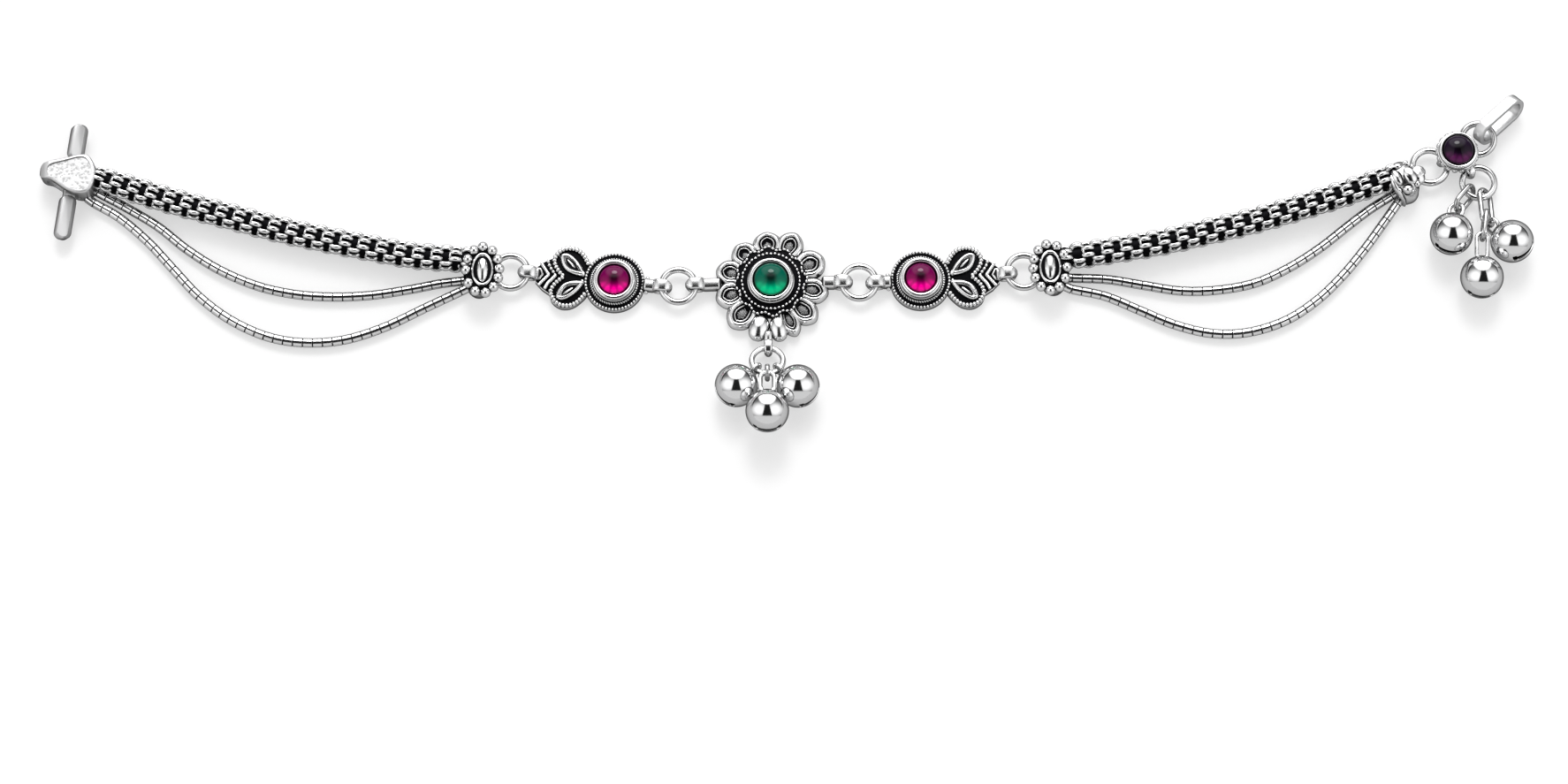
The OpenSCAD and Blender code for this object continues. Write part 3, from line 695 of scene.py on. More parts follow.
def rounded_loop(name, half_x, half_z, width, thickness, roundness=0.66):
    """A band bent into a squarish loop round the Y axis, its edges well rounded."""
    band = moved(drum(name, 1, -width / 2, width / 2, 40, "NOTHING"), tilt(90))
    for vertex in band.data.vertices:
        x, z = vertex.co.x / MM, vertex.co.z / MM
        vertex.co.x = half_x * MM * math.copysign(abs(x) ** roundness, x)
        vertex.co.z = half_z * MM * math.copysign(abs(z) ** roundness, z)
    refine(band, "SOLIDIFY", thickness=thickness * MM, offset=0)
    soften(band, 0.36, 5)
    for vertex in band.data.vertices:
        out = max(0, vertex.co.x / (half_x * MM))
        vertex.co.y *= 1 - 0.34 * out ** 3
    return band


def bail(hole_at, tab_from, width=2.1, half_l=1.0, end_t=0.75, place=Matrix()):
    """A cast bail along X with the rounded tab that joins it to its plate."""
    loop = rounded_loop("bail", half_l + end_t / 2, (BAIL_HOLE_H + STRAND) / 2, width, STRAND - 0.03)
    moved(loop, spot(hole_at, 0, RING_Z))
    length = hole_at - half_l - tab_from
    tab = block("tab", (length, width * 0.98, 2.4), (tab_from + length / 2 - 0.1, 0, 1.25))
    stain(soften(tab, 0.62, 6), lambda c: 0.95 if c.x < tab_from + 0.3 else 0)
    return [moved(loop, place), moved(tab, place)]


def wire_ring(radius, wire):
    """A closed jump ring with the fine seam of its solder joint."""
    seam = 2.5
    ring = hoop("ring", radius, wire, 72, 16)
    pick(ring, "FACE", lambda c, n: c.x < 0 and abs(math.degrees(math.atan2(c.y, -c.x))) < seam)
    bpy.ops.transform.resize(value=(1, 1, 0.97))
    put_down()
    return ring


def wire_line(radius, wire, z, sides=10):
    """A thin wire round a collar."""
    return moved(hoop("wire line", radius, wire, 64, sides), spot(0, 0, z))


def long_ring(half, end_r, wire):
    """A closed oval link, long along X."""
    return pulled_apart(hoop("link", end_r, wire, 48, 14), half)


def bead(radius, scale=(1, 1, 1), segments=12, rings=8):
    return ball("bead", radius, segments=segments, rings=rings, scale=scale)


def lip(name, outer, inner, z0, top, floor):
    """A turned collar: outer wall up to the top, rounded edge, seat cut down to a floor."""
    collar = drum(name, outer, z0, top, 64)
    pick(collar, "FACE", lambda c, n: n.z > 0.9)
    inset(outer - inner)
    raise_by(floor - top)
    put_down()
    soften(collar, 0.36, 5, 50)
    return stain(collar, lambda c: math.hypot(c.x, c.y) < inner + 0.04 and c.z < top - 0.3)


def domed_stone(radius, z0, girdle, top):
    """A cabochon: the upper part of a ball on a short straight girdle."""
    dome = dropped(ball("stone", radius, segments=48, rings=24), "VERT", lambda c, n: c.z < -0.01)
    moved(dome, stretched(1, 1, (top - girdle) / radius))
    pick(dome, "EDGE", lambda c, n: c.z < 0.001)
    raise_by(z0 - girdle)
    bpy.ops.mesh.edge_face_add()
    put_down()
    return moved(dome, spot(0, 0, girdle))


def set_stone(name, at, sizes, material, node):
    """A cabochon in its setting; the sizes are those of domed_stone."""
    finished(name, [domed_stone(*sizes)], settled(*at), material, node, smooth=60)


# Chains

def woven_unit():
    """One bundle of the weave: flattened wire rings side by side, seen from outside as fat bars."""
    strand = hoop("strand", 0.92, 0.4, 16, 8)
    moved(strand, tilt(90) @ stretched(1, 0.72, 1.06))
    twins = copied(strand, [spot(0.03, 0.54) @ tilt(-12), spot(-0.03, -0.54) @ tilt(12)])
    return joined("bundle", twins)


def woven_chain(name, points, end_scale):
    """Six columns of bundles in brick bond round a black core, narrower towards both ends; the core stands
    for the chain's inside, partly its patina and partly painted shade.
    """
    count = round(route_length(points) / WEAVE_PITCH)
    shares, _ = even_steps(points, 2 * count + 1)

    def held(at, u, column=0):
        """Frame of one column at a share of the route, with the width that the chain has at u."""
        size = WEAVE_SEEN * min(1, end_scale + (1 - end_scale) * 12 * min(u, 1 - u))
        return along(points, at) @ tilt(60 * column) @ stretched(1, size, size)

    unit = woven_unit()
    cross = ball("cross wire", 0.3, scale=(0.8, 1.7, 0.8), segments=8, rings=5)
    core = drum("core", WEAVE_CORE_R, -WEAVE_PITCH * 0.55, WEAVE_PITCH * 0.55, 16)
    # Partly painted shade: the all-black core stands for the oxidised inside of the chain in its own shadow
    stain(moved(core, tilt(90, "Y")), 1)
    places, gaps = [], []
    for column in range(6):
        for step in range(column % 2, 2 * count, 2):
            u = (shares[step] + shares[step + 1]) / 2
            places.append(held(u, u, column) @ spot(0, 0, 1.52))
            if step:
                gaps.append(held(shares[step], u, column) @ spot(-0.02, 0, 2.08))
    pieces = copied(unit, places) + copied(cross, gaps) + copied(core, [held(u, u) for u in shares[1::2]])
    finished(name, pieces, Matrix(), "woven", name, smooth=75)


def snake_chain(name, points):
    """Short round segments over a black core, with a black line along the side that faces up, and painted
    shade along both sides of the segments.
    """
    laid = [(x, y, SNAKE_R) for x, y in points]
    count = round(route_length(laid) / SNAKE_PITCH)
    shares, length = even_steps(laid, 2 * count + 1)
    pitch = length / count
    half = pitch / 2 - SNAKE_JOINT
    scale = drum("scale", SNAKE_SEEN_R, -half, half, 16)
    soften(moved(scale, tilt(90, "Y") @ tilt(11.25, "Z")), 0.04, 1)
    # Painted shade: the segments are darker along their sides, most on the side towards the top of the
    # frame
    stain(scale, lambda c: 0.75 if c.y > 0.65 else 0.12 if c.y < -0.65 else 0)
    core = moved(drum("core", SNAKE_SEEN_R - 0.04, -pitch / 2, pitch / 2, 12), tilt(90, "Y"))
    line = block("line", (pitch - 0.3, 0.22, 0.1), (0, -0.14, SNAKE_SEEN_R - 0.035))
    core = stain(joined("core", [core, line]), 1)
    middles = [along(laid, u) for u in shares[1::2]]
    finished(name, copied(scale, middles) + copied(core, middles), Matrix(), "snake", name, smooth=30)


# Flower

def petal():
    """A hollow petal along X: thick polished edge, groove, thin inner edge and a low floor."""
    side = [(0.25, 1.5), (1.9, 2.3), (3.5, 2.55), (4.9, 2.0), (5.75, 0.95)]
    points = [(0, 0)] + side + [(PETAL_L, 0)] + [(x, -y) for x, y in reversed(side)]
    steps = [(0.12, 0.5), (0.4, 0.5), (0.38, 0.08), (0.2, -0.24), (0.06, -0.5), (0.1, 0),
             (0.05, 0.36), (0.17, 0.06), (0.08, -0.12), (0.08, -0.36)]
    leaf = smoothed(slab("petal", outline_of(points, 28), 0, 1.1, steps), 2)
    return stain(leaf, lambda c: in_petal_gap(c) or petal_depth(c) > 1.1 and c.z < 1.75)


def in_petal_gap(place):
    """On the outer wall of the petal, low down or near its root, where black gathers."""
    return place.z < (1.45 if place.x < 4.2 else 0.5) and petal_depth(place) < 0.35


def petal_depth(place):
    """How far inside the petal's edge a place is, roughly, in millimetres."""
    x, y = place.x, abs(place.y)
    beside = PETAL_HALF_W - y
    return min(beside, PETAL_L - x - 0.35 * y, x + 1.5) if x > 3.2 else beside - 0.1 * (3.2 - x)


def pollen():
    """A dark patch with crumbs on it."""
    half_l, half_w, count = 1.2, 0.8, 26
    patch = stain(ball("pollen patch", 1, segments=20, rings=12, scale=(half_l, half_w, 0.45)), 0.82)
    crumb = stain(bead(0.13, (1.2, 0.9, 0.7), 6, 4), 0.68)
    places = []
    for k in range(count):
        turn = 137.5 * k
        x, y = 0.85 * math.sqrt((k + 0.5) / count) * Vector(circle(turn))
        places.append(spot(half_l * x, half_w * y, 0.39 * math.sqrt(1 - x * x - y * y) + 0.02, 3 * turn))
    return joined("pollen", [patch] + copied(crumb, places))


def buds():
    """The solid petals: long balls with a blunt outer end."""
    root, half_h = 6.0, 1.3
    lump = ball("bud", 1, segments=24, rings=16)
    shifted(lump, lambda c, n: c.x > 0.95, x=-0.1, use_proportional_edit=True, proportional_size=0.7 * MM)
    places = []
    for direction, reach, half_w in SOLID_PETALS:
        half_l = (reach - root) / 2
        lying = spot(root + half_l, 0, half_h) @ stretched(half_l, half_w, half_h)
        places.append(tilt(direction, "Z") @ lying)
    return copied(lump, places)


def flower_grains():
    """A wavy outer ring of grains and a smaller inner one."""
    outer_r, outer_count, inner_r, inner_count = 6.1, 58, 5.08, 44
    places = []
    for k in range(outer_count):
        a = 360 * k / outer_count
        out, aside = circle(12 * (a - 95))
        places.append(tilt(a, "Z") @ spot(outer_r + 0.32 * out, 0, 2.32, 90 + 14 * aside))
    for k in range(inner_count):
        a = 360 * k / inner_count
        place = spot(inner_r + 0.05 * math.sin(5 * a), 0, 2.5, 90)
        places.append(tilt(a, "Z") @ place @ stretched(0.92, 0.92, 0.9))
    return copied(bead(0.25, (1.25, 0.9, 0.9), 10, 6), places)


def flower_setting():
    """Petals on a dark ground, rings of grains, the collar round the stone, and three bails."""
    petals, patches = [], []
    for direction, reach, half_w in PETALS:
        turn, wide = tilt(direction, "Z"), half_w / PETAL_HALF_W
        petals.append(turn @ spot(PETAL_ROOT, 0) @ stretched((reach - PETAL_ROOT) / PETAL_L, wide, 1))
        patches.append(turn @ spot(reach - 3.1, 0, 1.22) @ stretched(1, wide, 1))
    pieces = copied(petal(), petals) + copied(pollen(), patches) + buds()
    ground = soften(drum("ground", 6.35, 0.1, 2.2, 72), 0.25, 3)
    step = soften(drum("step", 5.5, 2.1, 2.4), 0.12)
    pieces += [stain(ground, 1), stain(step, 1)] + flower_grains()
    pieces += [lip("bezel", 3.95, 3.1, 2.3, 3.7, 2.1), wire_line(3.95, 0.2, 2.6)]
    pieces += bail(12.7, 9.0, 2.2) + bail(13.35, 8.8, place=tilt(182, "Z"))
    pieces += bail(12.1, 9, 1.5, 0.8, 0.6, spot(-0.45, 0, 0, -90))
    finished("flower_silver", pieces, settled(*FLOWER_AT), "cast", "flower_setting")
    set_stone("green_stone", FLOWER_AT, (3.05, 2.08, 3.2, 4.95), "green", "green_cabochon")


# Leaf settings

def mirrored_over_x(piece):
    return copied(piece, [Matrix(), stretched(1, -1, 1)])


def leaf_outline():
    half = [on_route(LEAF_EDGE, k / 20) for k in range(21)] + LEAF_END
    return half + [(x, -y) for x, y in reversed(half)]


def along_path(piece, path, count, z):
    """Copies of a piece at even steps on a path drawn on the leaf, each turned along it."""
    matrices = []
    for u in even_steps(path, count)[0]:
        at, way = on_route(path, u), heading(path, u, 0.01)
        matrices.append(spot(at.x, at.y, z, math.degrees(math.atan2(way.y, way.x))))
    return copied(piece, matrices)


def almond():
    """The polished open almond on one lobe, with a dark pocket and a thin tongue in it."""
    heart, swell = Vector((7.7, 2.5)), 1.14
    outline = [heart + swell * (p - heart) for p in outline_of(ALMOND, 36)]
    steps = [(0.08, 0.26), (0.25, 0.22), (0.24, 0), (0.07, -0.16), (0.04, -0.5)]
    rim = smoothed(slab("almond", outline, PLATE_T - 0.1, 0.35, steps))
    stain(rim, lambda c: c.z < 1.72 and (c.y - 0.8) > 0.35 * (c.x - 6.1) - 0.1 and c.x < 9.2)
    tongue = ball("tongue", 1)
    moved(tongue, spot(7.95, 2.55, 1.62, 42) @ stretched(1.15, 0.2, 0.2))
    return [rim, tongue, ball("knot", 0.34, (5.55, 0.75, 1.72), 12, 8)]


def chevron(side):
    """One arm of the chevron behind the lobes: a bar below, a row of grains above."""
    if side > 0:
        return along_path(bead(0.33, (1.15, 0.95, 0.95), 10, 6), LEAF_CHEVRON, 5, 1.72)
    return along_path(soften(block("chevron", (0.5, 0.6, 0.7)), 0.2, 3), LEAF_CHEVRON, 10, 1.76)


def end_chevron():
    """Plain ridges behind the chevron: a second V and the pad before the bail."""
    arm = along_path(soften(block("ridge", (0.5, 0.56, 0.7)), 0.18, 3), LEAF_RIDGE, 8, 1.72)
    outline = [(12.5, 0), (13.1, 1.05), (14.0, 1.1), (14.0, -1.1), (13.1, -1.05)]
    pad = soften(slab("end pad", outline, PLATE_T - 0.1, 0.75, [(0.34, 0)], -0.3), 0.12, 3)
    stain(pad, lambda c: c.z < PLATE_T + 0.4 and abs(c.y) < 0.8 and 12.8 < c.x < 13.75)
    return [side for piece in arm for side in mirrored_over_x(piece)] + [pad]


def leaf_setting(side, at, turn, gem_bail):
    """Lobed plate with its chevrons, toothed disc and collar, a bail at both ends, and the stone."""
    plate = soften(slab("plate", leaf_outline(), 0, PLATE_T, [(0.12, 0)], 0.08), 0.1, 2, 50)
    stain(plate, lambda c: c.z > PLATE_T + 0.03)
    disc = soften(drum("disc", 5.36, 0, 1.5, 72), 0.12)
    stain(disc, lambda c: c.z > 1.45 and math.hypot(c.x, c.y) < 5.3)
    pieces = [plate, disc]
    teeth = along_path(bead(0.41, (0.88, 1.1, 1), 10, 8), LEAF_TEETH, 19, 1.66)
    knobs = copied(ball("knob", 0.38, segments=14, rings=10),
                   [spot(-5.75, 1.25, 1.35), spot(10.15, 3.75, 1.25) @ stretched(0.6, 0.6, 0.8)])
    for piece in teeth + almond() + knobs:
        pieces += mirrored_over_x(piece)
    grain_side = 1 if side == "left" else -1
    pieces += [moved(piece, stretched(1, -1, 1)) for piece in chevron(grain_side)]
    pieces += chevron(-grain_side) + end_chevron()
    pieces += copied(bead(0.3, (0.95, 0.9, 1), 10, 6), around(54, 5.06, 1.58))
    pieces += copied(bead(0.25, (1.35, 0.72, 1), 10, 6), around(60, 4.08, 1.66, 32))
    pieces += [lip("bezel", 3.7, 2.83, 1.4, 3.3, 1.75), wire_line(3.7, 0.16, 2.2)]
    pieces += bail(15.4, 13.2) + bail(gem_bail, 5.1, place=tilt(180, "Z"))
    finished(side + "_leaf_silver", pieces, settled(*at, 0, turn), "cast", side + "_leaf_setting")
    set_stone(side + "_red", at, (2.75, 1.78, 2.6, 4.05), side + "_red", side + "_red_stone")


# Terminals

def terminal(side, at, turn, eye_y):
    """Oval end of the three chains: a box round them, a beaded face, and an eye under its free side."""
    face_z, face_h = 2.6, 4.1
    body = dropped(drum("body", 2.6, 0, face_h - 0.4, 48), "FACE", lambda c, n: n.z < -0.9)
    moved(body, stretched(1, 3.7 / 2.6, 1))
    shifted(body, lambda c, n: c.x > 0.7 and c.z < 0.1, z=face_z)
    box = soften(drum("chain box", 2.7, 0, 3.5, 40), 0.3, 3)
    moved(box, spot(-0.75, 0) @ stretched(1, 4.15 / 2.7, 1))
    stain(box, lambda c: c.x < -1.5 and c.z > 0.4)
    wall = soften(block("inner wall", (1.6, 5.6, 2.9), (-0.15, 0, 1.45)), 0.2)
    plate = soften(moved(drum("face", 3.0, face_z, face_h, 48), stretched(1, 4.3 / 3.0, 1)), 0.2)
    stain(plate, lambda c: c.z > 3.95)
    beads = []
    for degrees in (0, 34, 66, 102, 133, 160, 183, 207, 236, 270, 302, 332):
        x, y = circle(180 + degrees)
        beads.append(spot(2.95 * x, 4.25 * y, face_h))
    pieces = [body, box, wall, plate] + copied(bead(0.9, segments=20, rings=14), beads)
    line = hoop("oval line", 1.0, 0.1, 56, 10)
    moved(line, spot(0, 0, face_h + 0.3) @ stretched(1.75, 2.8, 1.9))
    ground = stain(ball("oval ground", 1, (0, 0, face_h), 32, 16, (1.8, 2.9, 0.3)), 1)
    boss = ball("oval boss", 1, (0, 0, face_h + 0.1), 32, 20, (1.05, 2.25, 0.72))
    cut = stain(ball("wedge cut", 0.2, (-0.25, 0.5, face_h + 0.78), 10, 8, (0.5, 2.4, 0.5)), 1)
    eye = moved(rounded_loop("eye", 1.25, 1.05, 1.6, 0.6, 0.8), spot(1.65, eye_y, 1.35))
    pieces += [line, ground, boss, cut, eye]
    finished(side + "_terminal_silver", pieces, settled(*at, 0, turn), "cast", side + "_terminal")


# Clasp ends

def toggle_bar():
    """Flat bar with rounded ends and a narrower neck where the cap folds round it."""
    half, neck_low, neck_high = 10.7, -2.65, 4.3
    pieces = []
    for low, high in ((neck_high, half), (-half, neck_low)):
        length, middle = high - low, (low + high) / 2
        end = round_corners(block("bar end", (2.84, length, 1.8), (0, middle, 0)), 1.2, 6, upright)
        # Painted shade: the half of each end on its +X side, which faces down on the tilted bar, is painted
        # darker
        stain(soften(end, 0.28, 3, 60), lambda c: 0.62 if c.x > 0 else 0)
        plate = block("bar face", (1.95, length - 0.5, 0.2), (-0.32, middle, 0.88))
        pieces += [end, soften(round_corners(plate, 0.8, 6, upright), 0.08, 2, 60)]
    neck = block("neck", (2.0, neck_high - neck_low + 4, 1.5), (0, (neck_high + neck_low) / 2, 0))
    pieces.append(soften(neck, 0.25))
    place = settled(-126.1, 14.95, 2.2, -6.5) @ tilt(30, "Y")
    finished("toggle_bar_silver", pieces, place, "satin", "toggle_bar", body="toggle_bar")


def bar_cap():
    """Folded leaf: rounded nose, slot for the bar, dished and hammered face, closed chain end."""
    edge = outline_of(CAP_EDGE, 44)
    middle = sum(edge, Vector((0, 0))) / len(edge) + Vector((0.4, 0))

    def drawn_in(share):
        """The cap's outline drawn in to its middle, and further in at the nose."""
        offs = [p - middle for p in edge]
        return [(middle.x + off.x * share * (0.86 if off.x < 0 else 1), middle.y + off.y * share)
                for off in offs]

    shell = soften(slab("shell", edge, 0, 5.1), 0.4, 5, 50)
    side = round_corners(block("side view", (12, 16, 5.08), (-125.6, 16, 2.55)), 2.4, 16,
                         lambda c, way: across_it(c, way) and c.x < -126)
    slot = round_corners(block("slot", (6.15, 16, 2.8), (-127.22, 16, 2.2)), 1.3, 8, across_it)
    dish = slab("dish", drawn_in(0.86), 4.7, 1)
    carved(shell, ("INTERSECT", side), ("DIFFERENCE", slot), ("DIFFERENCE", dish))
    face = hammered_face(middle)
    carved(face, ("INTERSECT", slab("edge cut", drawn_in(0.87), 4.3, 1.2)))
    finished("bar_cap_silver", [shell, face], settled(0, 0), "satin", "bar_cap")


def hammered_face(middle):
    """A plate with a shallow hollow, stained a little, where each of many small blows fell."""
    low, height = 4.2, 0.6
    nothing_selected()
    bpy.ops.mesh.primitive_grid_add(x_subdivisions=90, y_subdivisions=66, size=MM,
                                    location=(0, 0, low * MM))
    face = moved(added("hammered face"), spot(middle.x, middle.y) @ stretched(11, 8, 1))
    thickened(face, height)
    blows = [(middle.x + random.uniform(-4.4, 3.4), middle.y + random.uniform(-3, 3),
              random.uniform(0.15, 0.42)) for _ in range(150)]

    def hit(c):
        """How far into a hollow a place is: 1 in its middle, 0 outside all of them."""
        return max(0, *(1 - math.hypot(c.x - x, c.y - y) / r for x, y, r in blows))

    stain(face, lambda c: 0.5 * hit(c))
    for vertex in face.data.vertices:
        if vertex.co.z > (low + height / 2) * MM:
            vertex.co.z -= 0.035 * min(hit(vertex.co / MM), 0.6) * MM
    return face


def end_cap():
    """Domed cap: smooth crescent on the chains' side, raised lens and drops on black, round bail."""
    dome_r, dome_z, lens_turn = 4.3, 0.95, 9.3
    drops = [(0.5, -0.1, 4.8, 8, 1.2, 1.7, 0.7), (-1.7, 0.4, 4.5, 10, 0.85, 1.6, 0.8),
             (-0.75, -2.2, 4.2, 0, 1.05, 0.85, 0.85), (-2.25, -1.75, 4.05, 20, 0.5, 0.5, 0.45),
             (-0.7, 2.35, 4.3, -25, 0.85, 0.6, 0.55), (0.85, 2.5, 4.15, 10, 0.55, 0.42, 0.4),
             (1.25, -1.85, 4.15, 30, 0.62, 0.6, 0.5), (1.75, 1.5, 4.0, 0, 0.42, 0.5, 0.4)]
    marks = [(0.05, -0.55, 5.36, 18, 0.18, 0.6, 0.14), (-1.75, -0.35, 5.16, 0, 0.12, 0.5, 0.1),
             (1.75, -1.1, 4.62, 0, 0.2, 0.22, 0.12)]

    def black_lines(c):
        """Black round the foot of each drop."""
        near = min(math.hypot((c.x - x) / (0.88 * a + 0.12), (c.y - y) / (0.88 * b + 0.12))
                   for x, y, z, turn, a, b, h in drops)
        return 1 if c.z > 2.8 and near < 1 else 0

    def laid(piece, ovals):
        return copied(piece, [spot(x, y, z, turn) @ stretched(a, b, h) for x, y, z, turn, a, b, h in ovals])

    dome = ball("dome", dome_r, segments=120, rings=80)
    for vertex in dome.data.vertices:
        vertex.co.x *= 0.56 if vertex.co.x > 0 else 1
        vertex.co.y *= 0.9
    keep = block("keep", (8, 10, 6), (1.1, 0, 3.01))
    ring_room = block("ring room", (3, 10, 4), (2.85, 0, 0.42))
    carved(moved(dome, spot(0, 0, dome_z)), ("INTERSECT", keep), ("DIFFERENCE", ring_room))
    rim = dropped(hoop("rim", 3.5, 0.5, 72, 12), "VERT", lambda c, n: c.x < -0.9)
    moved(closed(rim, lambda c, way: c.x < -0.75), spot(-2.5, 0, dome_z) @ tilt(-90, "Y"))
    pieces = [stain(dome, black_lines), rim] + laid(ball("lens", 1, segments=28, rings=16), drops)
    pieces += laid(stain(ball("black spot", 1, segments=14, rings=8), 1), marks)
    for piece in pieces:
        sweep(piece)
    lobe = ball("lobe", 1, segments=40, rings=24)
    moved(lobe, spot(2.15, 0.1, 2.35, lens_turn) @ stretched(1.5, 1.95, 0.95))
    closed(dropped(lobe, "VERT", lambda c, n: c.z < 2.34), lambda c, way: c.z < 2.4)
    pieces += [lobe] + bail(2.45, 0.5, 2.3, place=tilt(lens_turn, "Z"))
    finished("end_cap_silver", pieces, settled(*END_CAP_AT, 0, END_CAP_TURN), "cast", "end_cap")


def sweep(piece):
    """Bows the chains' side of the end cap back round the chains."""
    for vertex in piece.data.vertices:
        x, y = vertex.co.x / MM, vertex.co.y / MM
        vertex.co.x += max(0, (-x - 1) / 1.9) * (0.09 * y * y - 0.12) * MM


def end_bezel():
    """Small round setting on a post, with a bail towards each of its three rings."""
    floor, cup_out, cup_h = STRAND + BAIL_HOLE_H, 3.42, 4.5
    cup = lip("cup", cup_out, 2.83, floor, cup_h, floor + 0.5)
    stain(cup, lambda c: c.z < floor + 1.1 or math.hypot(c.x, c.y) < 2.9 and c.z < cup_h - 0.3)
    post = soften(drum("post", 1.0, 0, floor + 0.2, 24), 0.2)
    pieces = [cup, wire_line(cup_out + 0.02, 0.16, floor + 1.15, 8), post]
    pieces += copied(bead(0.52, (0.62, 1, 1)), around(18, 3.55, floor + 0.55))
    for ring_at, ring_r in ((END_RING_AT, END_RING_R), (CLASP_RING_AT, CLASP_RING_R),
                            (DROP_RING_AT, CLASP_RING_R)):
        away = Vector(ring_at) - Vector(END_BEZEL_AT)
        turn = tilt(math.degrees(math.atan2(away.y, away.x)), "Z")
        pieces += bail(away.length - ring_r, 0.6, 1.6, 0.85, 0.7, turn)
    finished("end_bezel_silver", pieces, settled(*END_BEZEL_AT), "cast", "end_bezel")
    set_stone("purple_stone", END_BEZEL_AT, (2.75, 2.98, 4.1, 5.65), "purple", "purple_cabochon")


def oblong_loop():
    """A flat band bent into a long loop, lying rolled on its side."""
    length, width, depth, thick, roll = 10.8, 5.0, 2.05, 0.85, 69
    band = drum("band", (width - thick) / 2, -depth / 2, depth / 2, 48, "NOTHING")
    refine(pulled_apart(band, (length - width) / 2), "SOLIDIFY", thickness=thick * MM, offset=0)
    level, upward = circle(roll)
    low = width / 2 * upward + depth / 2 * level
    place = settled(127.4, 26.45, low, CLASP_TURN) @ tilt(roll)
    finished("oblong_loop_silver", [soften(band, 0.16, 3)], place, "satin", "oblong_loop")


# Rings and links

def flat_ring(name, at, radius=RING_R):
    finished(name, [wire_ring(radius, WIRE_R)], settled(*at, RING_Z), "wire", name)


def rings():
    """The jump rings: all lie flat but the clasp's, which leans on the loop."""
    flat_ring("left_terminal_ring", (-47.9, -1.6))
    flat_ring("left_flower_ring", (-18.31, -4.17))
    flat_ring("right_flower_ring", (13.55, -3.5))
    flat_ring("right_terminal_ring", (42.6, -1.5))
    flat_ring("end_ring", END_RING_AT, END_RING_R)
    flat_ring("drop_ring", DROP_RING_AT, CLASP_RING_R)
    lean = 6.4
    rise = CLASP_RING_R * math.sin(math.radians(lean))
    place = settled(*CLASP_RING_AT, RING_Z + rise, CLASP_TURN) @ tilt(-lean, "Y")
    finished("clasp_ring", [wire_ring(CLASP_RING_R, WIRE_R)], place, "wire", "clasp_ring")


# Hanging groups

CLUSTER_TILT = 20
CLUSTER_R = 2.75
CLUSTER_AT = Vector((-2.6, -15.6 - CLUSTER_R * math.cos(math.radians(CLUSTER_TILT)),
                     RING_Z + CLUSTER_R * math.sin(math.radians(CLUSTER_TILT))))
MIDDLE_DIP = 8
MIDDLE_WAY = Vector((0, math.cos(math.radians(MIDDLE_DIP)), -math.sin(math.radians(MIDDLE_DIP))))


def cluster_way(degrees):
    """Direction from the middle of the tilted cluster ring to a place on it."""
    (x, y), (level, down) = circle(degrees), circle(CLUSTER_TILT)
    return Vector((x, y * level, -y * down))


def on_cluster(degrees):
    return CLUSTER_AT + CLUSTER_R * cluster_way(degrees)


def level_turn(x_way, z_way):
    """Turn about the bell's own axis that lays its slit level with the table."""
    x, y, z = axes(x_way, z_way)
    level = Vector((0, 0, 1)).cross(x).normalized()
    return math.degrees(math.atan2(-level.dot(y), level.dot(z)))


def bell(name, at, way, z_way, far, half_w=1.28, wire=0.36):
    """A hollow ball bell: level slit at one pole; at the other a wire eye that ends at a distance."""

    def in_slit(c, n):
        sideways = abs(math.degrees(math.atan2(c.y, -c.x)))
        return c.x < 0 and abs(c.z) < 2.3 and sideways < (9.2 if abs(c.z) > 1.75 else 4.6)

    shell = moved(ball("shell", BELL_R - 0.2, segments=80, rings=48), tilt(4.5 / 2, "Z"))
    refine(dropped(shell, "FACE", in_slit), "SOLIDIFY", thickness=0.4 * MM, offset=0)
    soften(shell, 0.1, 2, 60)
    # Black inside the shell: painted shade of the hollow, with patina. Dark ring round the eye's foot:
    # painted shade from the eye and links, with some dirt.
    stain(shell, lambda c: 1 if c.length < BELL_R - 0.25 else max(0, min(0.85, (c.x - 3.2) / 0.35)))
    moved(shell, tilt(level_turn(way, z_way)))
    bend = far - half_w
    eye = moved(hoop("eye", half_w, wire, 48, 14), spot(bend, 0))
    shifted(eye, lambda c, n: c.x < bend - 0.001, x=BELL_R - 0.4 - bend + half_w)
    finished(name, [shell, eye], aimed(at, way, z_way), "bell", name)


def rolled_side(a, b, roll):
    """Side of a link that runs between two places and is rolled about its own length."""
    x = (b - a).normalized()
    s = x.cross(Vector((0, 0, 1))).normalized()
    flat, lifted = circle(roll)
    return flat * s + lifted * s.cross(x)


def link_between(name, a, b, roll, end_r):
    a, b = Vector(a), Vector(b)
    ring = long_ring((b - a).length / 2 - end_r, end_r, LINK_WIRE_R)
    finished(name, [ring], aimed((a + b) / 2, b - a, (b - a).cross(rolled_side(a, b, roll))), "link", name)


def centre_group():
    """Ring, link and three bells under the flower."""
    place = settled(*CLUSTER_AT) @ tilt(-CLUSTER_TILT)
    finished("cluster_ring", [wire_ring(CLUSTER_R, 0.5)], place, "wire", "cluster_ring")
    for name, at, angle in (("cluster_bell_left", (-8, -23.05, BELL_R), 221.7),
                            ("cluster_bell_right", (2.75, -23.15, BELL_R), -43.2)):
        reach = on_cluster(angle) - Vector(at)
        bell(name, at, reach, cluster_way(angle + 90), reach.length + 1, 1)
    middle_at, far = Vector((-2.6, -28.3, 6.3)), 7.35
    bell("cluster_bell_middle", middle_at, MIDDLE_WAY, (0, 0, 1), far, 1.25, 0.45)
    low, high = on_cluster(270), middle_at + far * MIDDLE_WAY
    place = aimed((low + high) / 2, high - low, (1, 0, 0))
    finished("cluster_link", [long_ring(0.9, 1.0, LINK_WIRE_R)], place, "link", "cluster_link")


